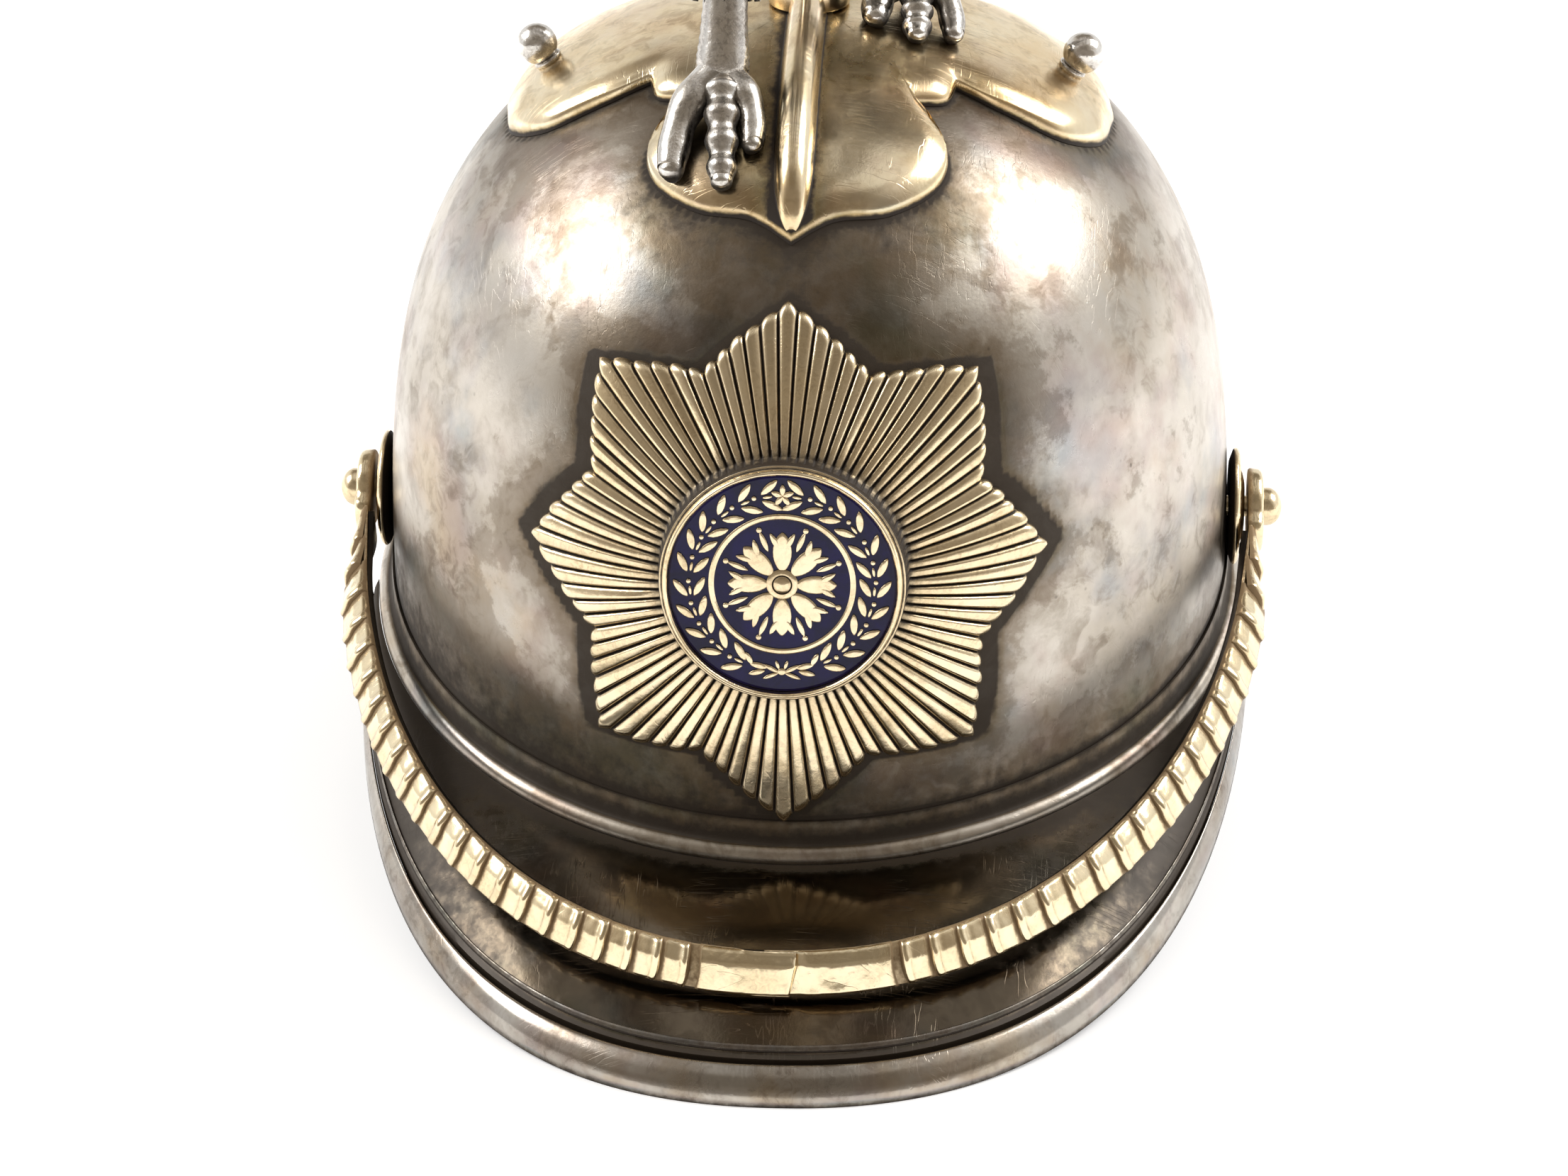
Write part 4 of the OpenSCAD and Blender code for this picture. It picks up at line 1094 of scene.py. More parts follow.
class Finish(Enum):
    """The helmet's finishes."""

    SKULL = MetalFinish(
        "Tarnished silver skull", Slot.SKULL, (0.71, 0.665, 0.6), (0.47, 0.415, 0.335), (0.14, 0.1, 0.06),
        (0.022, 0.015, 0.01), 0.25, 0.42, cloud=75.0, cloud_sharp=0.15, shade=0.75, patches=0.32, blotches=0.42,
        tint=0.6, dirt_and_shade_amount=0.85, dirt_and_shade_breakup=700.0, speck=0.5, grain=0.1, scratch=0.2, wobble=0.12,
        wobble_scale=60.0, seed=1.0)
    BORDER = MetalFinish(
        "Silver borders", Slot.BORDER, (0.56, 0.53, 0.48), (0.36, 0.32, 0.27), (0.12, 0.09, 0.065),
        (0.03, 0.02, 0.013), 0.16, 0.34, cloud=130.0, cloud_sharp=0.2, shade=0.6, patches=0.35, tint=0.5,
        dirt_and_shade_breakup=1300.0, speck=0.2, grain=0.06, scratch=0.2, wobble=0.06, wobble_scale=90.0, seed=2.0)
    CAST = MetalFinish(
        "Cast silver", Slot.CAST, (0.84, 0.81, 0.76), (0.6, 0.56, 0.5), (0.13, 0.105, 0.085),
        (0.018, 0.014, 0.011), 0.13, 0.32, cloud=260.0, shade=0.6, tint=0.12, dirt_and_shade_breakup=1500.0, speck=0.15,
        grain=0.3, grain_scale=2400.0, scratch=0.1, wobble=0.1, wobble_scale=400.0, barbs=0.5, seed=3.0)
    PLATE = MetalFinish(
        "Blackened plate", Slot.PLATE, (0.19, 0.155, 0.11), (0.12, 0.095, 0.067), (0.055, 0.042, 0.03),
        (0.03, 0.02, 0.012), 0.1, 0.2, cloud=90.0, cloud_sharp=0.1, shade=0.6, tint=0.6, dirt_and_shade_amount=0.8,
        dirt_and_shade_breakup=900.0, speck=0.15, grain=0.04, scratch=0.25, wobble=0.05, wobble_scale=80.0, seed=4.0)
    GILT = MetalFinish(
        "Gilt silver", Slot.GILT, (0.94, 0.8, 0.56), (0.82, 0.66, 0.41), (0.36, 0.24, 0.12), (0.03, 0.02, 0.012),
        0.14, 0.28, cloud=220.0, cloud_sharp=0.2, shade=0.4, tint=0.0, dirt_and_shade_breakup=1700.0, speck=0.08, grain=0.08,
        wobble=0.07, wobble_scale=320.0, seed=5.0)
    CREST = MetalFinish(
        "Gilt crest plate", Slot.GILT, (0.95, 0.83, 0.6), (0.82, 0.63, 0.34), (0.3, 0.19, 0.065),
        (0.025, 0.016, 0.01), 0.14, 0.3, cloud=95.0, cloud_sharp=0.25, shade=0.6, patches=0.2, blotches=0.22,
        tint=0.4, dirt_and_shade_breakup=900.0, speck=0.2, grain=0.06, scratch=0.25, wobble=0.06, wobble_scale=110.0, seed=6.0)
    SCALES = MetalFinish(
        "Gilt chin scales", Slot.GILT, (0.95, 0.82, 0.57), (0.86, 0.7, 0.44), (0.5, 0.34, 0.17),
        (0.24, 0.155, 0.075), 0.12, 0.25, cloud=260.0, cloud_sharp=0.2, shade=0.3, tint=0.0, dirt_and_shade_amount=0.9,
        dirt_and_shade_breakup=1900.0, grain=0.1, grain_scale=2200.0, scratch=0.12, wobble=0.16, wobble_scale=420.0, seed=7.0)
    # Near black: the band's inner face, darkened by patina and by painted shade
    STRIP = MetalFinish(
        "Blackened strip", Slot.STRIP, (0.035, 0.03, 0.026), (0.025, 0.02, 0.017), (0.012, 0.01, 0.008),
        (0.02, 0.015, 0.01), 0.25, 0.45, cloud=200.0, cloud_sharp=0.2, tint=0.1, dirt_and_shade_amount=0.6,
        dirt_and_shade_breakup=1200.0, grain=0.1, grain_scale=2200.0, scratch=0.1, wobble=0.05, wobble_scale=300.0, seed=8.0)
    ENAMEL = EnamelFinish("Navy enamel", Slot.ENAMEL, (0.004, 0.002, 0.035), (0.01, 0.006, 0.09), 9.0)


@dataclass
class Dress:
    """Hands each finished mesh to its body, its finish and the nodes that it stands for."""

    finishes: dict[Finish, Material]
    body: Body = Body.HELMET

    def piece(self, mesh: Mesh, finish: Finish, *nodes: str, slot: Optional[Slot] = None) -> None:
        """Makes one piece of the helmet.

        Args:
            mesh: its mesh, in metres, in the helmet's frame, with the piece's name.
            finish: its finish.
            nodes: the solids that it stands for.
            slot: the record's slot meant for it; not used.
        """
        made = linked(mesh.name, mesh)
        mesh.materials.clear()
        mesh.materials.append(self.finishes[finish])
        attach(made, self.body.value)
        if nodes:
            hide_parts(*nodes)
        LOG.info("%s: %d faces, on %s", made.name, len(mesh.polygons), self.body.value)

    def leave_to_solids(self) -> None:
        """Gives each solid that no piece stands for its finish."""
        slots = {part["node"]: Slot(part["material_slot"]) for part in frame["record"]["subparts"]}
        for name, made in frame["nodes"].items():
            if not made.hide_render:
                finish = next(f for f in Finish if f.value.slot is slots[name])
                made.data.materials.clear()
                made.data.materials.append(self.finishes[finish])
                LOG.info("%s: solid in %s", name, finish.value.name)


# Cove above the bead of the base line, in mm: out from the skull and up. Then how dark each point of the whole line is
# made, most in the groove and the cove
COVE: Rows = ((0.46, 0.97), (0.38, 1.06), (0.34, 1.25), (0.28, 1.6), (0.24, 1.95), (0.24, 2.3), (0.2, 2.5), (0.2, 2.74))
COVE_TOP = 2.76
MOULDING_DARKENING: Row = (0.6, 0.4, 0.3, 0.2, 0.15, 0.12, 0.1, 0.08, 0.05, 0.03, *[0.0] * 7, 0.02, 0.1, 0.35,
                      0.9, 0.9, 0.7, 0.5, 0.4, 0.3, 0.3, 0.4, 0.6)


@dataclass
class Skull:
    """The domed bowl with its moulded base."""

    form: HelmetForm
    columns: int = 384
    rows: int = 136
    inner_rows: int = 40
    stud_hole: float = 1.15
    halo: float = 0.75
    halo_reach: float = 3.0
    far: float = 99.0

    def _rings(self, grow: float, rows: int) -> Array:
        """Rings of the dome from its foot to the stud's hole.

        Args:
            grow: distance out from the dome.
            rows: number of rings.

        Returns:
            Rows by columns of points.
        """
        form = self.form
        turn = np.degrees(circle(self.columns))
        foot = form.base_line(form.half_depth * np.sin(circle(self.columns))) - form.bead_radius
        rise = np.sin(np.radians(88.6) * np.linspace(0, 1, rows) ** 1.4) ** (2 / form.crown_power)
        rings = form.point(turn, foot + (form.apex + grow - foot) * rise[:, None], grow)
        rings[-1, :, :2] = unit(rings[-1, :, :2]) * self.stud_hole
        return rings

    def _dirt(self, p: Array) -> Array:
        """How dark the outside's points are made: painted contact shadow and halo at the star and crest plate, a dark
        line round the ears, tarnish and the bow's painted shadow above the base, and painted dark reflection on the
        brow.

        Args:
            p: the points.

        Returns:
            Values from 0 to 1.
        """
        form = self.form
        x, y, z = np.moveaxis(p, -1, 0)
        heights = np.linspace(form.wall_top, form.apex - 0.02, 300)
        run = form.front_line(heights)
        up = np.where(z < form.wall_top, z - form.wall_top, np.interp(z, heights, run))
        up = up - np.interp(form.star_height, heights, run)
        across = np.arctan2(x, -y) * form.half_width * form.share(z)
        star = np.hypot(across, up) - form.star_radius(np.degrees(np.arctan2(across, up)))
        base = z - form.base_line(y) - form.bead_radius - form.cove_height
        crest = np.full(z.shape, self.far)
        high = z > form.apex - 22
        crest[high] = np.linalg.norm(p[high][:, None, :2] - form.crest_outline(6)[None], axis=-1).min(1)
        crest = np.where(np.hypot(x / form.crest_spread, y / form.crest_reach) < 0.62, 0, crest)
        ear = np.hypot(y - form.pivot_y, z - form.pivot_height) - 4.6
        # Painted contact shadow, and a halo of painted shade and tarnish, round the star
        total = self._halo(np.where(y < 0, star, self.far), 0.24, 0.17, self.halo_reach)
        # Above the base: tarnish, darker and wider at the lower left as a painted shadow and reflection of the bow and
        # peak; painted shade under the crest plate's edge; a dark line and halo round the ears
        low = np.interp(x, (-26.0, 6.0), (1.0, 0.0)) * np.interp(y, (-10.0, 24.0), (1.0, 0.0))
        for near, part, reach in ((base, 0.27 + 0.2 * low, 4.0 + 2.4 * low), (crest, 0.2, 3.4), (ear, 0.17, 2.0)):
            edge = self._halo(near, 0.2, part, reach)
            total = np.maximum(total, edge) + 0.3 * np.minimum(np.minimum(total, edge), 0.2)
        # Painted dark reflection of the front, with tarnish, on the brow and round the star
        for part, middle, wide, tall in ((0.17, 22.0, 13.0, 7.5), (0.09, 3.0, 17.0, 20.0)):
            total = total + part * bell(across / wide) * bell((up - middle) / tall) * (y < 0)
        return share(total)

    def _halo(self, distance: Array, tight: float, wide: Number, reach: Number) -> Array:
        """A painted contact shadow along an edge, with a wide soft halo of painted shade and tarnish."""
        d = np.maximum(distance, 0)
        return self.halo * np.exp(-d / tight) + wide * bell(d / reach)

    def build(self) -> Mesh:
        """Builds the two walls of the skull.

        Returns:
            The mesh.
        """
        outer, inner = self._rings(0.0, self.rows), self._rings(-self.form.wall, self.inner_rows)[::-1]
        dirt = np.concatenate([self._dirt(outer), np.full(inner.shape[:2], 0.35)])
        return Shape("skull").tube(np.concatenate([outer, inner]), True, dirt).mesh(60)

    def moulding(self) -> Mesh:
        """Builds the bead and the cove along the base line.

        Returns:
            The mesh.
        """
        form = self.form
        bead = polar(form.bead_radius, np.radians(np.linspace(-90, 75, 19))) + (form.bead_centre, 0)
        p = np.vstack([[form.gap, -form.bead_radius], bead, COVE, [form.gap, COVE_TOP]])
        foot, out = form.base_plan(circle(self.columns)[:, None])
        loops = raised(foot + out * p[:, :1], form.base_line(foot[..., 1]) + p[:, 1])
        return Shape("base_moulding").tube(loops, True, np.tile(MOULDING_DARKENING, (self.columns, 1))).mesh(50)

    def dress(self, dress: Dress) -> None:
        """Places the skull and its moulding."""
        dress.piece(self.build(), Finish.SKULL, "bowl")
        dress.piece(self.moulding(), Finish.SKULL, "base_bead", slot=Slot.BORDER)


@dataclass
class Brims:
    """The peak, the neck guard's lames and the borders."""

    form: HelmetForm
    stations: int = 150
    end: float = 5.0
    line_width: float = 0.5
    line_inset: float = 0.55
    lame_wall: float = 0.65
    lame_gap: float = 0.06
    lame_lap: float = 0.07
    hollow: float = -1.6
    narrow: float = 2.2

    def _turns(self, side: int) -> Array:
        """Stations round one brim."""
        return side * np.linspace(self.end, 180 - self.end, self.stations)

    def _wide_part(self, side: int, fall: float, inset: float) -> tuple[Array, Array, Array]:
        """The stations where a brim is wide enough for a line or a lame.

        Args:
            side: -1 for the peak, 1 for the neck guard.
            fall: how the brim falls towards its edge.
            inset: distance kept from the border.

        Returns:
            The stations as a column, the widths there, and the share of the width where the room ends.
        """
        turns = self._turns(side)
        turns = turns[self.form.brim_width(turns, fall) > self.narrow * self.form.border_width][:, None]
        wide = self.form.brim_width(turns, fall)
        return turns, wide, 1 - self.form.border_share(turns, fall) - inset / wide

    def peak(self) -> Mesh:
        """Builds the peak's plate.

        Returns:
            The mesh.
        """
        form = self.form
        turns = self._turns(-1)[:, None]
        wide = form.brim_width(turns, form.peak_fall)
        last = 1 - form.border_share(turns, form.peak_fall) - 0.04 / wide
        f = np.linspace(0, 1, 40)[None] * last
        grid = form.brim_point(turns, f, form.peak_fall, form.peak_swell)
        half = np.array([0, 0, form.peak_wall / 2])
        near = np.maximum(np.minimum(f * wide, 3 * (last - f) * wide), 0)
        # Darker at the root and the border; the darkening towards the sides is painted shade that dims the reflection
        # at the peak's corners
        dirt = 0.75 * np.exp(-near / 0.8) + 0.06 + 0.65 * np.square(grid[..., 0] / form.half_width)
        return Shape("peak_plate").plate(grid + half, grid - half, dirt).mesh(50)

    def border(self, name: str, side: int, fall: float) -> Mesh:
        """Builds a border with a flat face, a ridge and a fall inwards.

        Args:
            name: the mesh's name.
            side: -1 for the peak, 1 for the neck guard.
            fall: how the brim falls towards its edge.

        Returns:
            The mesh.
        """
        form, turns = self.form, self._turns(side)
        profile = rounded([[0.0, -0.5], [0.0, -0.12], [0.1, 0.14], [0.36, 0.38], [0.66, 0.5], [0.82, 0.44],
                           [0.88, 0.2], [1.0, 0.1], [1.0, -0.3]], 0.09)
        dirt = 0.75 * (profile[:, 0] > 0.84) + 0.5 * (profile[:, 1] < -0.3)
        a = form.brim_point(turns, 1 - form.border_share(turns, fall), fall, 0)
        b = form.brim_edge(turns, fall)
        loops = b[:, None] + (a - b)[:, None] * profile[:, :1]
        loops[..., 2] += form.border_height * profile[:, 1]
        low = raised(a[:, :2], b[:, 2] - form.border_height / 2)
        values = np.tile(np.append(dirt, 0.6), (len(turns), 1))
        return Shape(name).tube(np.concatenate([loops, low[:, None]], 1), False, values).mesh(55)

    def inner_line(self) -> Mesh:
        """Builds the thin raised line inside the peak's border.

        Returns:
            The mesh.
        """
        form, t = self.form, np.linspace(0, 1, 9)
        turns, wide, last = self._wide_part(-1, form.peak_fall, self.line_inset)
        part = last + self.line_width / wide * (t - 1)
        loops = form.brim_point(turns, part, form.peak_fall, form.peak_swell)
        loops[..., 2] += form.peak_wall / 2 + 0.04 + self.line_width / 2 * np.sin(np.pi * t) ** 0.7
        return Shape("peak_line").tube(loops, False, np.tile(np.where(t < 0.9, 0.3, 0.8), (len(turns), 1))).mesh()

    def lame(self, i: int, name: str) -> Mesh:
        """Builds one lame of the neck guard.

        Args:
            i: its number, from the skull outwards.
            name: the mesh's name.

        Returns:
            The mesh.
        """
        form, t = self.form, np.linspace(0, 1, 14)
        turns, wide, last = self._wide_part(1, form.neck_fall, 0.1)
        start = i / 3 - self.lame_lap if i else 0
        grid = form.brim_point(turns, (start + ((i + 1) / 3 - start) * t) * last, form.neck_fall, self.hollow)
        slim = np.minimum(1, wide / 9)
        rise = (self.lame_wall + self.lame_gap) / (1 - 3 * self.lame_lap) * t * (i < 2) * slim
        under, top = grid.copy(), grid.copy()
        under[..., 2] += rise
        top[..., 2] += rise + (self.lame_wall - 0.12 * share((t - 0.9) / 0.1) ** 2) * slim
        return Shape(name).plate(top, under, 0.8 * np.exp(-t * 9) + 0.25 * (i == 2) * t**8).mesh()

    def dress(self, dress: Dress) -> None:
        """Places the brims.

        Args:
            dress: what takes the pieces.
        """
        dress.piece(self.peak(), Finish.PLATE, "peak")
        dress.piece(self.border("peak_edge", -1, self.form.peak_fall), Finish.BORDER, "peak_border")
        dress.piece(self.inner_line(), Finish.BORDER, "peak_inner_line")
        for i, place in enumerate(("upper", "middle", "lower")):
            dress.piece(self.lame(i, f"lame_{place}"), Finish.PLATE, f"neck_lame_{place}")
        dress.piece(self.border("neck_edge", 1, self.form.neck_fall), Finish.BORDER, "neck_border")


@dataclass
class Crest:
    """The lobed crest plate with its fins, its boss and the two balls."""

    form: HelmetForm
    edge_radius: float = 1.9
    edge_foot: float = 0.45
    stud_hole: float = 1.15
    fin_height: float = 2.3
    fin_width: float = 3.0
    boss_radius: float = 3.0
    nose_back: float = 0.1
    nose_long: float = 3.4
    ball_size: float = 3.05
    ball_share: float = 0.86
    ball_lean: float = 34.0

    def plate(self) -> Mesh:
        """Builds the plate, with a round polished edge.

        Returns:
            The mesh.
        """
        form, outline = self.form, self.form.crest_outline(8)
        hole = unit(outline) * self.stud_hole
        rings = [(outline * 0.97, form.gap, 0.9), (outline, form.gap, 0.8), (outline, self.edge_foot, 0.15)]
        for part in (0.996, 0.99, 0.98, 0.966, 0.95, 0.93, 0.905, 0.88, 0.85, 0.81, 0.76, 0.7, 0.63, 0.55, 0.46,
                     0.36, 0.26, 0.17, 0.1):
            q = outline * part
            near = np.linalg.norm(q[:, None] - outline[None], axis=-1).min(1)
            lift = self.edge_foot + (form.crest_top - self.edge_foot) * arc(1 - np.minimum(near / self.edge_radius, 1))
            # Darker at the fin's foot; left of the fin, a painted shadow of the eagle's foot over a brown stain
            beside = np.maximum(np.abs(q[:, 0]) - self.fin_width * 0.42, 0)
            stain_and_foot_shadow = np.where(q[:, 0] < 0, 0.34, 0.14) * np.exp(-beside / 2.6)
            rings.append((q, lift, 0.45 * np.exp(-beside / 0.5) + stain_and_foot_shadow))
        rings += [(hole, form.crest_top, 0.6), (hole, form.gap, 0.6), (outline * 0.6, form.gap, 0.6)]
        loops = [raised(q, form.over(*q.T, lift)) for q, lift, _ in rings]
        dirt = [np.broadcast_to(value, len(outline)) for _, _, value in rings]
        return Shape("crest_shell").tube(np.stack(loops), True, np.stack(dirt)).mesh(70)

    def fin(self, side: int, name: str) -> Mesh:
        """Builds the fin on the plate's front or back.

        Args:
            side: -1 for the front, 1 for the back.
            name: the mesh's name.

        Returns:
            The mesh.
        """
        form = self.form
        half = [[0.5, 0.0], [0.47, 0.06], [0.45, 0.18], [0.43, 0.34], [0.4, 0.5], [0.355, 0.66], [0.295, 0.79],
                [0.22, 0.89], [0.145, 0.955], [0.07, 0.99], [0.0, 1.0]]
        profile = np.array([[-x, h] for x, h in half] + half[-2::-1])
        foot = form.crest_reach - self.nose_back
        y = (-foot + (foot - self.boss_radius - 0.02) * np.linspace(0, 1, 70) ** 1.8)[:, None]
        nose = arc(1 - np.minimum((y + foot) / self.nose_long, 1))
        x = self.fin_width * (0.24 + 0.66 * nose + 0.1 * np.minimum((y + foot) / 6, 1)) * profile[:, 0]
        seat = (self.edge_foot - form.crest_top) * (1 - arc(1 - share((y + foot) / self.edge_radius)))
        z = form.over(x, y, form.crest_top) + 0.05 + seat + self.fin_height * (0.2 + 0.8 * nose) * profile[:, 1]
        loops = np.stack([x, -side * y + 0 * x, z], -1)
        dirt = np.tile(np.maximum(0, 0.75 - 4 * profile[:, 1]), (len(y), 1))
        return Shape(name).tube(loops, False, dirt).mesh(65)

    def boss(self) -> Mesh:
        """Builds the boss under the eagle.

        Returns:
            The mesh.
        """
        r, h = self.boss_radius, self.fin_height
        line = rounded([[1.15, 0], [r, 0], [r, 0.5 * h], [r - 0.18, 0.62 * h], [r - 0.5, 0.68 * h],
                        [r - 0.5, 0.82 * h], [r - 0.62, h], [1.15, h]], 0.14)
        foot = self.form.apex + self.form.crest_top + 0.05
        return Shape("boss").lathe(line, axes(at=(0, 0, foot)), 96, None, True).mesh()

    def balls(self) -> Mesh:
        """Builds the two balls on their collars.

        Returns:
            The mesh.
        """
        shape, r = Shape("crest_balls"), self.ball_size / 2
        ring = [[0.0, -0.6], [r * 0.66, -0.25], [r * 0.72, -0.05], [r * 0.72, 0.15], [r * 0.56, 0.3],
                [r * 0.42, 0.42], [0.0, 0.5]]
        t = np.radians(np.linspace(-62, 90, 22))
        wavy = np.stack([r * np.cos(t) * (1 + 0.01 * np.sin(5 * t)), r * np.sin(t)], -1)
        wavy[-1, 0] = 0.0
        a = math.radians(self.ball_lean)
        for s in (-1, 1):
            x = s * self.form.crest_spread * self.ball_share
            foot = np.array([x, 0, self.form.over(x, 0, self.form.crest_top) + 0.2])
            out = np.array([s * math.sin(a), 0, math.cos(a)])
            m = frame_along(foot, foot + out, (0, 1, 0))
            shape.lathe(rounded(ring, 0.12), m, 40)
            m[:3, 3] += out * self.ball_size * 0.48
            shape.lathe(np.vstack([[0.0, -r * 0.89], wavy]), m, 48, [0.9, 0.8, 0.5] + [0.0] * 20)
        return shape.mesh()

    def dress(self, dress: Dress) -> None:
        """Places the crest.

        Args:
            dress: what takes the pieces.
        """
        dress.piece(self.plate(), Finish.CREST, "crest_plate")
        dress.piece(self.fin(-1, "fin_front"), Finish.CREST, "crest_fin_front")
        dress.piece(self.fin(1, "fin_back"), Finish.CREST, "crest_fin_back")
        dress.piece(self.boss(), Finish.CREST, "crest_boss")
        dress.piece(self.balls(), Finish.CAST, "ball_studs")


@dataclass
class Star:
    """The rayed star badge on the skull's front."""

    form: HelmetForm
    rays: int = 88
    samples: int = 8
    rows: int = 40
    clear: float = 0.12
    edge: float = 0.85
    groove: float = 0.42
    rays_from: float = 8.55

    def build(self) -> Mesh:
        """Builds the star from a polar net with rounded rays.

        Returns:
            The mesh.
        """
        form, low = self.form, self.rays_from
        k = np.arange(self.rays * self.samples) / self.samples
        angle = 360 * k / self.rays
        v = (((k + 0.5) % 1) - 0.5) * 2
        rng = np.random.default_rng(5)
        ray = np.floor(k + 0.5).astype(int) % self.rays
        slim = rng.uniform(-0.16, 0.16, self.rays)[ray]
        tilt = rng.normal(0, 0.07, self.rays)[ray] * v
        reach = form.star_radius(angle) - 0.34 * np.abs(v) ** 2.4 + slim * 0.6
        ridge = np.maximum(1 - np.abs(v) ** (4.4 + 5 * slim), 0) ** 0.7
        a = np.radians(90 - angle)
        f = np.concatenate([np.linspace(0, 0.86, self.rows), 1 - 0.14 * (1 - np.linspace(0, 1, 10)[1:]) ** 1.7])
        loops = [form.star_surface(polar(r, a), self.clear) for r in (0.5 * low, low, reach)]
        dirt = [np.full(len(k), 0.6)] * 3
        for part in f[::-1]:
            r = low + (reach - low) * part
            fade = share((reach - r) / (0.9 + 2.2 * slim)) ** 0.6
            deep = self.groove * (0.55 + 0.45 * min(1, part * 5)) * (1 - 0.3 * part) * (0.25 + 0.75 * fade)
            top = self.edge + 0.3 * (1 - part) + 0.12
            end = np.maximum(0, 1 - (reach - r) / 0.85)
            drop = (top - self.clear - 0.12) * (1 - np.sqrt(np.maximum(1 - end**2.2, 0)))
            lift = top - deep * (1 - ridge) - drop + tilt * ridge * min(1, part * 4)
            loops.append(form.star_surface(polar(r, a), np.maximum(lift, self.clear + 0.05)))
            seat = 0.4 * np.exp(-np.maximum(r - low, 0) / 1.4)
            dirt.append(share((1 - ridge) ** 1.1 * (1.2 - 0.1 * part) * (0.35 + 0.65 * fade) + seat))
        seat = form.star_frame(form.seat_height)
        loops += [placed(raised(polar(r, a), 0), seat) for r in (low, 0.5 * low)]
        return Shape("star_rays").tube(np.stack(loops), False, np.stack(dirt + dirt[:2])).mesh(60)

    def dress(self, dress: Dress) -> None:
        """Places the star."""
        dress.piece(self.build(), Finish.GILT, "star")


# Leaves of one tied sprig, in mm from its knot: across, up, length, width, and how many degrees it is turned
SPRIG: Rows = ((0.72, 0.22, 0.62, 0.16, 28), (0.75, -0.3, 0.62, 0.15, -22), (1.62, 0.42, 0.66, 0.22, 14),
               (1.75, -0.08, 0.6, 0.2, -12), (2.3, 0.95, 0.5, 0.2, 62), (0.3, 0.5, 0.34, 0.13, 70))
# Button in the flower's middle: radius and height in mm, and the recess values
BUTTON: Rows = ((0.0, -0.1), (1.1, -0.1), (1.1, 0.1), (0.95, 0.2), (0.72, 0.2), (0.66, 0.13), (0.58, 0.2), (0.3, 0.33),
                (0.0, 0.36))
BUTTON_DIRT: Row = (0.8, 0.8, 0.3, 0, 0.2, 0.9, 0.2, 0, 0)


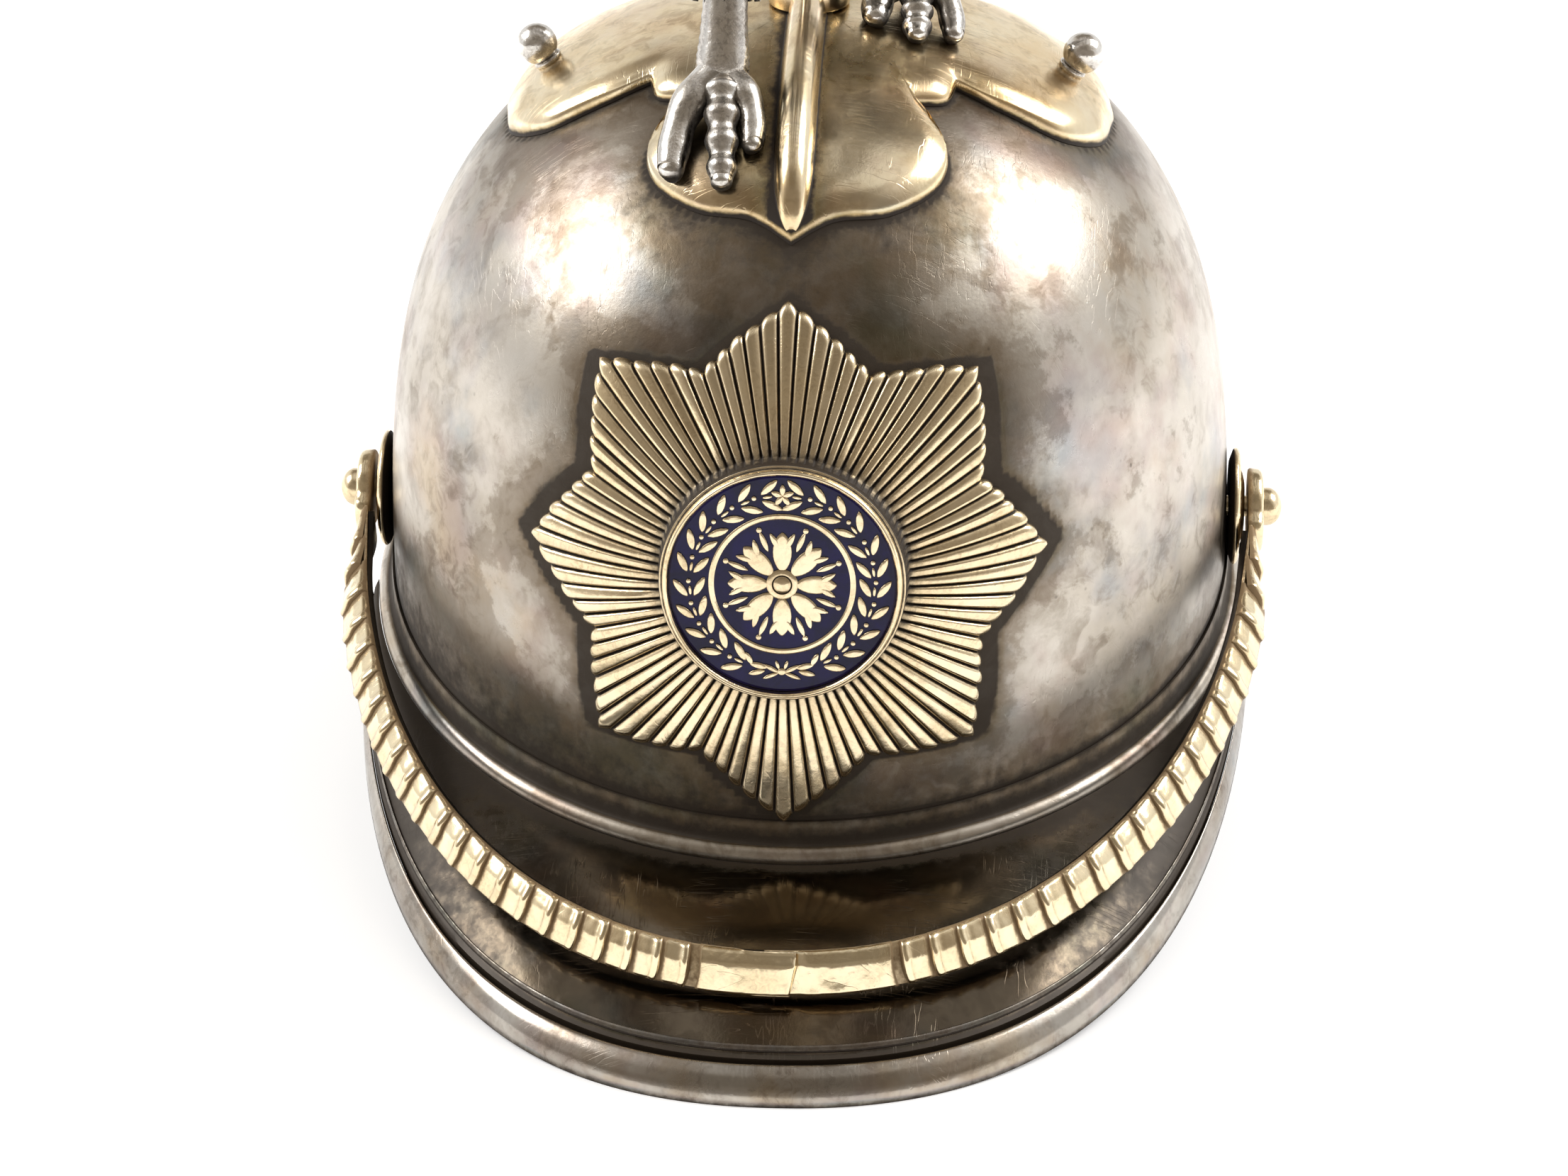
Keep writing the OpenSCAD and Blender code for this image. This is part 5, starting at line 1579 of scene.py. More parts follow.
@dataclass
class Badge:
    """The star's centre: a stepped ring, an enamelled disc and gilt ornament flush with it."""

    form: HelmetForm
    outer: float = 8.65
    enamel: float = 7.95
    bezel_height: float = 1.2
    enamel_height: float = 0.7
    foot: float = 0.05
    ring: float = 4.95
    leaves: int = 11
    wreath_ends: tuple[float, float] = (-62.0, 80.0)
    petals: int = 8

    def __post_init__(self) -> None:
        """Places the enamel's face and the middle of the wreath."""
        self.face = self.form.star_frame(self.form.seat_height + self.foot + self.enamel_height)
        self.middle = (self.ring + self.enamel) / 2

    def bezel(self) -> Mesh:
        """Builds the stepped ring.

        Returns:
            The mesh.
        """
        r, w, h = self.outer, self.outer - self.enamel, self.bezel_height
        line = rounded([[r - w + 0.04, 0], [r, 0], [r, 0.42 * h], [r - 0.1 * w, 0.52 * h], [r - 0.36 * w, 0.54 * h],
                        [r - 0.42 * w, 0.8 * h], [r - 0.55 * w, 0.97 * h], [r - 0.74 * w, h], [r - 0.92 * w, 0.88 * h],
                        [r - w + 0.02, 0.66 * h]], 0.06)
        near = np.abs(line[:, 1] - 0.54 * h) + np.abs(line[:, 0] - (r - 0.4 * w))
        dirt = share(0.75 * (line[:, 1] < 0.5 * h) + 0.9 * np.exp(-near / 0.12))
        return Shape("bezel").lathe(line, self.form.star_frame(self.form.seat_height + 0.04), 160, dirt, True).mesh(60)

    def disc(self) -> Mesh:
        """Builds the enamelled disc, slightly domed.

        Returns:
            The mesh.
        """
        r, h, a = self.enamel, self.enamel_height, np.radians(np.linspace(8, 90, 14))
        line = np.vstack([[0.0, 0.0], [r, 0.0], [r, h - 0.08], polar(1, a) * (r, 0.04) + (0, h - 0.04)])
        return Shape("enamel_disc").lathe(line, self.form.star_frame(self.form.seat_height + self.foot), 128).mesh(50)

    def _leaf(self, shape: Shape, x: float, y: float, long: float, wide: float, turn: float = 0.0,
              point: float = 2.0) -> None:
        """Adds a flat gilt leaf or disc with a soft edge.

        Args:
            shape: the shape that takes it.
            x: its middle across.
            y: its middle up.
            long: half its length.
            wide: half its width.
            turn: its turn in degrees.
            point: 2 for an oval, less for a pointed leaf.
        """
        way, t = polar(1, circle(28)), math.radians(turn)
        flat = np.stack([long * way[:, 0], wide * np.sign(way[:, 1]) * np.abs(way[:, 1]) ** (2 / point)], -1)
        spin = np.array([[math.cos(t), math.sin(t)], [-math.sin(t), math.cos(t)]])
        loops = [raised(flat * part @ spin + (x, y), z)
                 for part, z in ((1.0, -0.1), (1.0, 0.06), (0.93, 0.11), (0.8, 0.13), (0.3, 0.14))]
        shape.tube(np.stack(loops), False, [0.9, 0.45, 0.1, 0.0, 0.0])

    def _leaves(self, way: int) -> Mesh:
        """Builds a pair of laurel leaves with a berry, at the right of a ring.

        Args:
            way: 1 for leaves that point up, -1 for leaves that point down.

        Returns:
            The mesh, in millimetres.
        """
        shape, r = Shape("laurel_pair"), self.middle - 0.02
        for side in (-1, 1):
            self._leaf(shape, r + side * 0.66, way * 0.32, 0.78, 0.27, way * (90 - side * 34), 1.45)
        self._leaf(shape, r, way * 0.1, 0.34, 0.11, 90)
        self._leaf(shape, r + 0.05, way * 0.78, 0.17, 0.17)
        return shape.mesh(scale=1.0)

    def _tree(self) -> Tree:
        """Builds the tree that repeats a motif along an arc round the origin.

        Returns:
            The tree.
        """
        t = Tree.group("Motifs along an arc", "Geometry", {
            "Geometry": "Geometry", "Motif": "Object", "Count": 11, "First Turn": -1.2, "Last Turn": 1.5,
            "Unevenness": 0.02, "Finish": "Material"})
        given = t.given
        points = t.node("GeometryNodeMeshLine", {"Count": given["Count"], "Offset": (0, 0, 0)}).outputs[0]
        part = t.math("DIVIDE", t.node("GeometryNodeInputIndex").outputs[0], t.minus(given["Count"], 1.0))
        angle = t.plus(given["First Turn"], t.times(part, t.minus(given["Last Turn"], given["First Turn"])))
        uneven = t.uneven(t.times(given["Unevenness"], -1.0), given["Unevenness"], 3)
        turn = t.node("ShaderNodeCombineXYZ", {2: t.plus(angle, uneven)}).outputs[0]
        return t.scatter(points, t.node("FunctionNodeEulerToRotation", {0: turn}).outputs[0])

    def wreath(self, way: int, tree: Tree, finish: Material) -> Mesh:
        """Builds the half of the laurel wreath that runs up one side.

        Args:
            way: 1 for the right half, -1 for the left one.
            tree: the tree that repeats the leaves.
            finish: its material.

        Returns:
            The mesh.
        """
        name = "laurel_right" if way > 0 else "laurel_left"
        first, last = (math.radians(a) if way > 0 else math.pi - math.radians(a) for a in self.wreath_ends)
        mesh = baked(name, tree, bpy.data.meshes.new("start"), self._leaves(way), count=self.leaves,
                     first_turn=first, last_turn=last, finish=finish)
        mesh.transform(Matrix((np.diag([MM] * 3 + [1]) @ self.face).tolist()))
        return mesh

    def _laid(self, shape: Shape) -> Mesh:
        """Lays a shape drawn in the plane on the enamel's face."""
        shape.points = [placed(p, self.face) for p in shape.points]
        return shape.mesh()

    def knot(self) -> Mesh:
        """Builds the tied sprigs at the wreath's foot and the star at its top.

        Returns:
            The mesh.
        """
        shape, r = Shape("wreath_knot"), self.middle
        for side in (-1, 1):
            for x, y, long, wide, turn in SPRIG:
                self._leaf(shape, side * x, y - r, long, wide, side * turn, 1.5)
        self._leaf(shape, 0, -r, 0.3, 0.26)
        for turn in range(90, 450, 72):
            x, y = polar(0.42, math.radians(turn))
            self._leaf(shape, x, r + y, 0.42, 0.2, turn, 1.2)
        return self._laid(shape)

    def inner_ring(self) -> Mesh:
        """Builds the thin inner ring."""
        line = rounded([[-0.2, -0.1], [0.2, -0.1], [0.2, 0.08], [0.1, 0.14], [-0.1, 0.14], [-0.2, 0.08]], 0.03, 2)
        return Shape("inner_ring").lathe(line + (self.ring, 0), self.face, 128, None, True).mesh()

    def flower(self) -> Mesh:
        """Builds the flower in the middle, with darts between its petals.

        Returns:
            The mesh.
        """
        shape, half = Shape("middle_flower"), 180 / self.petals
        for a in 90 + 2 * half * np.arange(self.petals):
            for off, r, long, wide, turn, point in (
                    (0, 2.35, 1.45, 0.66, a, 1.45), (-9, 3.1, 0.75, 0.22, a - 30, 1.5),
                    (9, 3.1, 0.75, 0.22, a + 30, 1.5), (half, 3.35, 0.8, 0.2, a + half, 1.3),
                    (half, 4.25, 0.2, 0.2, 0.0, 2.0)):
                x, y = polar(r, math.radians(a + off))
                self._leaf(shape, x, y, long, wide, turn, point)
        return self._laid(shape.lathe(BUTTON, axes(), 48, BUTTON_DIRT))

    def dress(self, dress: Dress) -> None:
        """Places the badge's centre.

        Args:
            dress: what takes the pieces.
        """
        dress.piece(self.bezel(), Finish.GILT, "badge_bezel")
        dress.piece(self.disc(), Finish.ENAMEL, "badge_enamel")
        tree, gilt = self._tree(), dress.finishes[Finish.GILT]
        dress.piece(self.wreath(1, tree, gilt), Finish.GILT, "badge_pellets")
        dress.piece(self.wreath(-1, tree, gilt), Finish.GILT)
        dress.piece(self.knot(), Finish.GILT)
        dress.piece(self.inner_ring(), Finish.GILT, "badge_inner_ring")
        dress.piece(self.flower(), Finish.GILT, "badge_flower")


# A scale along its pitch: places as shares of it, the height of each as a share of the full one, and recess values
SCALE_PLACES: Row = (-0.1, 0.0, 0.06, 0.14, 0.3, 0.48, 0.64, 0.74, 0.82, 0.9, 0.97, 1.03, 1.075, 1.1, 1.1, 1.1)
SCALE_RISE: Row = (0.5, 0.6, 0.63, 0.66, 0.72, 0.78, 0.82, 0.83, 0.92, 1.03, 1.08, 1.05, 0.96, 0.8, 0.4, 0.0)
SCALE_DIRT: Row = (1, 1, 0.95, 0.55, 0.1, 0, 0, 0.12, 0.3, 0, 0, 0, 0.1, 0.6, 0.9, 1)


@dataclass
class ChinBow:
    """The bow of chin scales with its rosettes, rivets, ends and tips."""

    form: HelmetForm
    reach: float = 48.4
    half_width: float = 33.4
    scale_width: float = 3.2
    scale_count: int = 21
    backing_wall: float = 0.5
    power: float = 2.12
    flare_run: float = 10.0
    rest_gap: float = 0.4
    lean: float = 34.0
    lean_run: float = 8.0
    scales_from: float = 4.4
    tip_run: float = 5.6
    pitch_ratio: float = 0.62
    tip_over: float = 1.5
    right_over: float = 0.6
    tip_root: tuple[float, float] = (1.2, -1.9)
    rosette_size: float = 9.0
    rosette_depth: float = 1.2
    end_depth: float = 1.2
    end_gap: float = 0.25
    end_radius: float = 2.9
    rivet_size: float = 1.6
    rivet_head: float = 2.9

    def __post_init__(self) -> None:
        """Works out the bow's line and how it rests on the peak."""
        form, half = self.form, self.scale_width / 2
        self.end_back = form.half_width + form.gap + self.rosette_depth + self.end_gap
        tilt, lean = math.radians(18), math.radians(self.lean)
        front = np.array([-90.0])
        root, edge = form.brim_root(front)[0], form.brim_edge(front, form.peak_fall)[0]
        run = self.reach + 2 * half * math.sin(lean) - self.backing_wall * math.cos(lean)
        drop = 2 * half * math.cos(lean) + self.backing_wall * math.sin(lean) - half
        for _ in range(12):
            y = form.pivot_y - run * math.cos(tilt) + drop * math.sin(tilt)
            part = np.array([(y - root[1]) / (edge[1] - root[1])])
            top = form.brim_point(front, part, form.peak_fall, form.peak_swell)[0, 2] + form.peak_wall / 2
            tilt = math.asin((form.pivot_height - drop * math.cos(tilt) - self.rest_gap - top) / run)
        self.ahead = np.array([0, -math.cos(tilt), -math.sin(tilt)])
        self.up = np.array([0, -math.sin(tilt), math.cos(tilt)])
        a = np.radians(90 * np.linspace(0, 1, 400) ** 1.15)
        run = self.reach * np.sin(a) ** (2 / self.power)
        flare = (self.end_back + self.backing_wall - self.half_width) * np.maximum(0, 1 - run / self.flare_run) ** 2
        x = self.half_width * np.maximum(0, np.cos(a)) ** (2 / self.power) + flare
        self.line = np.stack([x, run], -1)
        self.runs = runs(self.line)
        self.length = float(self.runs[-1])
        self.scales_to = self.length - self.tip_run

    def _at(self, run: Array) -> Array:
        """Plan of the bow's line at a distance from the rivet."""
        return np.stack([np.interp(run, self.runs, self.line[:, k]) for k in (0, 1)], -1)

    def point(self, side: Side, run: Array, across: Number, lift: Number) -> Array:
        """Point of one half of the bow.

        Args:
            side: which half.
            run: distance along the bow from the rivet, past the middle too.
            across: distance up from its middle line.
            lift: distance out from the backing.

        Returns:
            The point.
        """
        run, across, lift = np.broadcast_arrays(run, across, lift)
        t = unit(self._at(np.minimum(run + 0.4, self.length)) - self._at(np.maximum(run - 0.4, 0)))
        past = np.maximum(run - self.length, 0)
        t = np.where(past[..., None] > 0, (-1.0, 0.0), t)
        f = share((run - self.scales_from) / self.lean_run)
        lean = np.radians(self.lean) * f * f * (3 - 2 * f)
        down = self.scale_width / 2 - across
        out = lift * np.cos(lean) + down * np.sin(lean)
        q = self._at(run) + out[..., None] * np.stack([t[..., 1], -t[..., 0]], -1)
        x, ahead = q[..., :1] - past[..., None], q[..., 1:]
        rise = self.scale_width / 2 - down * np.cos(lean) + lift * np.sin(lean)
        return (ahead * self.ahead + rise[..., None] * self.up + x * (side.value, 0, 0)
                + (0, self.form.pivot_y, self.form.pivot_height))

    @staticmethod
    def _section(count: int, ridge: float, slopes: tuple[float, float], sharp: float, edge: float) -> tuple[
            Array, Array, Array]:
        """Section of a scale or a tip: two slopes that meet in a soft ridge, with round edges.

        Args:
            count: points across, without the two at the edges.
            ridge: where the ridge is, from -1 to 1.
            slopes: fall of the two sides.
            sharp: how sharp the ridge is.
            edge: where the round edges start.

        Returns:
            Places across, heights and how far each point is from the edge.
        """
        v = np.concatenate([[-1.0], np.linspace(-0.985, 0.985, count), [1.0]])[None]
        lower, upper = 1 - slopes[0] * (ridge - v), 1 - slopes[1] * (v - ridge)
        roof = -np.log(np.exp(-sharp * lower) + np.exp(-sharp * upper)) / sharp
        return v, roof, arc(share((np.abs(v) - edge) / (1 - edge)))

    def _scale(self, side: Side) -> Mesh:
        """Builds one scale, as long as its pitch, with a soft ridge and a raised lip at its end.

        Args:
            side: which side.

        Returns:
            The mesh.
        """
        along, rise, dirt = np.array([SCALE_PLACES, SCALE_RISE, SCALE_DIRT])[..., None]
        v, roof, edge = self._section(21, 0.24, (0.3, 0.62), 14, 0.84)
        x = along * (1 - 0.04 * v + 0.1 * np.maximum(v - 0.24, 0)) - 0.15 * v**2 * (along + 0.4) / 1.5
        z = rise * (roof + 0.03) * (0.42 + 0.58 * edge)
        top = np.stack([x, -side.value * v + 0 * x, z], -1)
        under = raised(top[..., :2], -0.04)
        return Shape("one_scale").plate(top, under, share(dirt + 0.5 * (1 - edge))).mesh(70, 1.0)

    def _tree(self) -> Tree:
        """Builds the tree that lays scales along a path, shorter and shorter towards its end.

        Returns:
            The tree.
        """
        t = Tree.group("Scales along a bow", "Geometry", {
            "Geometry": "Geometry", "Motif": "Object", "Count": 21, "Start": 0.0044, "End": 0.06, "Pitch Ratio": 0.62,
            "Half Width": 0.00155, "Least Width": 0.965, "Finish": "Material"})
        given = t.given
        path = t.node("GeometryNodeMeshToCurve", {"Mesh": given["Geometry"]}).outputs[0]
        points = t.node("GeometryNodeMeshLine", {"Count": given["Count"], "Offset": (0, 0, 0)}).outputs[0]
        mean = t.times(t.plus(given["Pitch Ratio"], 1.0), 0.5)
        pitch = t.math("DIVIDE", t.math("DIVIDE", t.minus(given["End"], given["Start"]), given["Count"]), mean)
        bend = t.math("DIVIDE", t.times(t.minus(1.0, given["Pitch Ratio"]), 0.5), given["Count"])
        index, outward, ends = t.node("GeometryNodeInputIndex").outputs[0], t.named("outward"), []
        for i in (index, t.plus(index, 1.0)):
            run = t.plus(given["Start"], t.times(pitch, t.minus(i, t.times(t.times(i, i), bend))))
            ends.append(t.node("GeometryNodeSampleCurve", {"Curves": path, "Length": run}, mode="LENGTH",
                               use_all_curves=True, data_type="FLOAT_VECTOR"))
        start, end = ends
        t.plug(next(s for s in start.inputs if s.name == "Value" and s.enabled), outward)
        chord = t.vector("SUBTRACT", end.outputs["Position"], start.outputs["Position"])
        out = next(s for s in start.outputs if s.name == "Value" and s.enabled)
        turn = t.node("FunctionNodeAxesToRotation", {0: chord, 1: out}, primary_axis="X", secondary_axis="Z")
        wide = t.times(given["Half Width"], t.uneven(given["Least Width"], 1.0, 4))
        size = t.node("ShaderNodeCombineXYZ", {0: t.vector("LENGTH", chord), 1: wide, 2: MM}).outputs[0]
        moved = t.node("GeometryNodeSetPosition", {"Geometry": points, "Position": start.outputs["Position"]})
        return t.scatter(moved.outputs[0], turn.outputs[0], size)

    def scales(self, side: Side, tree: Tree, finish: Material) -> Mesh:
        """Lays the scales of one side.

        Args:
            side: which side.
            tree: the tree that lays them.
            finish: their material.

        Returns:
            The mesh.
        """
        at = np.linspace(0, self.length, 240)
        path = self.point(side, at, 0.0, 0.12) * MM
        line = bpy.data.meshes.new("bow_path")
        line.from_pydata(path.tolist(), [(k, k + 1) for k in range(len(at) - 1)], [])
        mark(line, "outward", (self.point(side, at, 0.0, 1.12) * MM - path) / MM)
        end = self.scales_to + self.tip_root[side is Side.RIGHT] - 0.1
        return baked(f"scales_{side.name.lower()}", tree, line, self._scale(side), count=self.scale_count - side.value,
                     start=self.scales_from * MM, end=end * MM, pitch_ratio=self.pitch_ratio,
                     half_width=self.scale_width / 2 * MM, finish=finish)

    def strip(self, name: str, side: Side, lift: tuple[float, float], wide: float, ends: tuple[float, float],
              soft: float, dirt: float) -> Mesh:
        """Builds a strip along the bow.

        Args:
            name: the mesh's name.
            side: which side.
            lift: lifts of its two faces.
            wide: half its width.
            ends: where it starts and ends.
            soft: size of its round edges.
            dirt: recess value of its faces.

        Returns:
            The mesh.
        """
        low, high = lift
        section = rounded([[-wide, low], [-wide, high], [wide, high], [wide, low]], soft, 3, True)
        loops = self.point(side, np.linspace(*ends, 150)[:, None], section[:, 0], section[:, 1])
        return Shape(f"{name}_{side.name.lower()}").tube(loops, False, np.full(loops.shape[:2], dirt)).mesh(50)

    def tip(self, side: Side) -> Mesh:
        """Builds a plain tip: the left one is long, folded at its top, and lies over the right one.

        Args:
            side: which side.

        Returns:
            The mesh.
        """
        left = side is Side.LEFT
        t = np.linspace(0, 1, 48)[:, None]
        v, roof, edge = self._section(25, 0.4, (0.16, 0.85), 22, 0.9)
        start = self.scales_to + self.tip_root[not left] - 0.5
        run = start + (self.length + (self.tip_over if left else self.right_over) - start) * t
        run = run - 0.2 * v**2 * (1 - t) + (0.35 * v - 0.5 * np.maximum(v - 0.4, 0)) * t**8
        last = arc(share((t - 0.965) / 0.035))
        step = 1 / (1 + np.exp(-(run - self.length + (2.2 if left else 1.9)) * 5))
        body = (0.98 if left else 0.86 - 0.42 * step) + 0.025 * np.sin(8 * t + 1.5 * v) * np.sin(3.3 * t)
        rise = body * (roof + 0.02) * (0.55 + 0.45 * edge * last)
        low = (0.5 * step if left else 0.04) + 0 * v
        across = self.scale_width / 2 * 0.985 * v
        dirt = 0.8 * np.exp(-t / 0.02) + 0.3 * (1 - edge) + 0.25 * (1 - last)
        return Shape(f"tip_{side.name.lower()}").plate(self.point(side, run, across, np.maximum(rise, low + 0.12)),
                                                       self.point(side, run, across, low), share(dirt)).mesh(60)

    def end(self, side: Side) -> Mesh:
        """Builds an end: a plate with an eye and a round lip over the first scale.

        Args:
            side: which side.

        Returns:
            The mesh.
        """
        half, d = self.scale_width / 2, self.end_depth
        b = np.linspace(-np.pi / 2, np.pi / 2, 18)
        outline = np.concatenate([polar(self.end_radius, np.linspace(0.56, 2 * np.pi - 0.56, 40)),
                                  polar(1, b) * (half * 0.55, half) + (self.scales_from - 0.35 - half * 0.5, 0)])
        centre = np.array([0.35, 0.0])
        part, z, dirt = np.array([(0.25, 0.0, 0.8), (0.97, 0.0, 0.7), (1.0, 0.1, 0.5), (1.0, 0.6 * d, 0.0),
                                  (0.975, 0.8 * d, 0.0), (0.92, 0.93 * d, 0.0), (0.8, d, 0.0), (0.62, 0.97 * d, 0.1),
                                  (0.45, 0.94 * d, 0.45), (0.25, 0.94 * d, 0.6)]).T[..., None]
        out = (side.value, 0, 0)
        m = axes(self.ahead, out, self.form.ear_frame(side, self.end_back)[:3, 3])
        loops = raised(centre + (outline - centre) * part[..., None], z)
        return Shape(f"end_{side.name.lower()}").tube(placed(loops, m), False, dirt[:, 0]).mesh(60)

    def rosette(self, side: Side) -> Mesh:
        """Builds a rosette: a dished disc with a bright rim.

        Args:
            side: which side.

        Returns:
            The mesh.
        """
        r, d = self.rosette_size / 2, self.rosette_depth
        line = rounded([[0.85, 0.0], [r - 1.0, 0.0], [r - 0.16, 0.3], [r, 0.5], [r - 0.12, 0.7], [r - 0.42, 0.84],
                        [r * 0.74, 0.78], [r * 0.6, 1.02], [r * 0.42, d], [0.85, d]], 0.1)
        groove = 0.7 * np.exp(-np.abs(line[:, 0] - r * 0.74) / 0.25)
        dirt = share(0.95 * (line[:, 1] < 0.35) + groove * (line[:, 1] > 0.6))
        m = self.form.ear_frame(side, self.form.half_width + self.form.gap)
        return Shape(f"rosette_{side.name.lower()}_disc").lathe(line, m, 128, dirt, True).mesh(60)

    def rivet(self, side: Side) -> Mesh:
        """Builds a rivet through the end, the rosette and the skull.

        Args:
            side: which side.

        Returns:
            The mesh.
        """
        foot = self.form.half_width - self.form.wall - 0.9
        back = self.end_back + self.end_depth + self.end_gap
        h, r, a = self.rivet_head / 2, self.rivet_size / 2, np.radians(np.linspace(0, 90, 12))
        line = np.vstack([[0.0, foot], [h, foot], [h, foot + 0.6], [r, foot + 0.6], [r, back - 0.25], [h, back - 0.2],
                          polar(1, a) * (h, 1.1) + (0, back + 0.1)])
        return Shape(f"rivet_{side.name.lower()}_pin").lathe(line, self.form.ear_frame(side), 64).mesh(50)

    def dress(self, dress: Dress) -> None:
        """Places the bow, and what it hangs on.

        Args:
            dress: what takes the pieces.
        """
        tree, bow, half = self._tree(), Dress(dress.finishes, Body.BOW), self.scale_width / 2
        ground = (0.0, 0.24), half * 0.97, (self.scales_from - 0.6, self.scales_to + 0.6), 0.08, 0.42
        backing = (-self.backing_wall, -0.01), half - 0.15, (self.scales_from, self.length - 0.05), 0.1, 0.2
        for side in Side:
            place = side.name.lower()
            dress.piece(self.rosette(side), Finish.GILT, f"rosette_{place}")
            dress.piece(self.rivet(side), Finish.GILT, f"rivet_{place}")
            bow.piece(self.end(side), Finish.SCALES, f"bow_end_{place}")
            scales = self.scales(side, tree, dress.finishes[Finish.SCALES])
            bow.piece(scales, Finish.SCALES, f"chin_scales_{place}")
            bow.piece(self.strip("ground", side, *ground), Finish.SCALES)
            bow.piece(self.strip("backing", side, *backing), Finish.STRIP, f"bow_backing_{place}")
            bow.piece(self.tip(side), Finish.SCALES, f"bow_tip_{place}")


class Feathering:
    """Lays small feathers over a form with Geometry Nodes."""

    def __init__(self, finish: Material) -> None:
        """Builds the tree, and a feather 1 long and 1 wide that lies along X.

        Args:
            finish: the feathers' material.
        """
        self.finish = finish
        t = self.tree = Tree.group("Feathers on a form", "Geometry", {
            "Geometry": "Geometry", "Motif": "Object", "Length": 0.003, "Width": 0.002, "Rise": 0.001,
            "Finish": "Material"})
        size = t.node("ShaderNodeCombineXYZ", {k: t.given[name] for k, name in enumerate(("Length", "Width", "Rise"))})
        turn = t.node("FunctionNodeEulerToRotation", {0: t.named("turn")}).outputs[0]
        t.scatter(t.given["Geometry"], turn, t.vector("SCALE", size.outputs[0], t.named("size", "FLOAT")))
        f, v = np.linspace(0, 1, 7)[:, None], np.linspace(-1, 1, 5)[None]
        half = 0.5 * np.maximum(1 - share((f - 0.35) / 0.65) ** 1.9, 0.02) ** 0.8 * (0.8 + 0.2 * f)
        top = np.stack([f + 0 * v, v * half, 0.16 * (1 - np.abs(v) ** 1.3) + 0.05 + 0 * f], -1)
        dirt = share(share(0.85 - 1.7 * f) + 0.35 * np.abs(v) ** 3)
        shape = Shape("small_feather").plate(top, top - (0, 0, 0.24), dirt)
        blade = 0.8 * (top * (1, 1, 0)).reshape(-1, 3)
        shape.blade[0] = np.concatenate([blade, blade])
        self.feather = shape.mesh(60, 1.0)

    def cover(self, name: str, frames: Sequence[Array], sizes: Row, size: Row) -> Mesh:
        """Lays feathers on frames.

        Args:
            name: the mesh's name.
            frames: frames in millimetres whose X runs along the feather and whose Z is the way out.
            sizes: a scale for each.
            size: length, width and height of a feather in millimetres.

        Returns:
            The feathers as one mesh.
        """
        points = bpy.data.meshes.new(name + "_places")
        points.from_pydata([tuple(m[:3, 3] * MM) for m in frames], [], [])
        mark(points, "turn", np.array([Matrix(m[:3, :3].tolist()).to_euler() for m in frames]))
        mark(points, "size", np.array(sizes))
        long, wide, rise = (value * MM for value in size)
        return baked(name, self.tree, points, self.feather, length=long, width=wide, rise=rise, finish=self.finish)


@dataclass(frozen=True)
class Leg:
    """Where a leg of the eagle stands."""

    place: str
    hip: Point
    hock: Point
    foot: tuple[float, float]
    toes: tuple[tuple[float, float], ...]


# Beak, from its root in mm: out, to the side, up, radius
UPPER_BEAK: Rows = ((0, 0, 0, 1.5), (1.5, 0, 0.35, 1.25), (2.8, 0, 0, 1.0), (3.6, 0, -0.9, 0.72),
                    (3.75, 0, -1.9, 0.38), (3.6, 0, -2.6, 0.06))
LOWER_BEAK: Rows = ((-0.2, 0, -0.9, 0.8), (1.2, 0, -1.2, 0.66), (2.3, 0, -1.5, 0.4), (2.8, 0, -1.75, 0.1))
# Crown, as shares of its radius and of its height; an arch's third number is its radius in mm, and so is the
# top's first one
CROWN_CAP: Rows = ((0, 0.2), (0.72, 0.22), (0.82, 0.36), (0.84, 0.47), (0.72, 0.6), (0.42, 0.69), (0, 0.71))
CROWN_ARCH: Rows = ((0.76, 0.2, 0.42), (0.93, 0.36, 0.38), (0.95, 0.48, 0.36), (0.8, 0.61, 0.34), (0.45, 0.71, 0.32))
CROWN_TOP: Rows = ((0.0, 0.72), (0.62, 0.72), (0.5, 0.76), (0.55, 0.8), (0.0, 0.8))
# Shank, as a share of its length from the hock, and its radius in mm
SHANK: Rows = ((-0.08, 1.3), (0.1, 1.62), (0.45, 1.5), (0.8, 1.72), (1, 1.95))
# Toes: radius and bend in mm, depth of the pads, their number and the rings of the mesh
TOES: Rows = ((1.12, 0.9, 0.05, 2.5, 13), (1.02, 0, 0.13, 4.5, 25), (0.92, -0.75, 0.05, 2.5, 13),
              (0.95, 0, 0.05, 2.5, 13))
# Claw past the toe's tip in mm: out, down, and its radius as a share of the toe's
CLAW: Rows = ((0.36, 0.12, 0.7), (0.58, 0.24, 0.4))


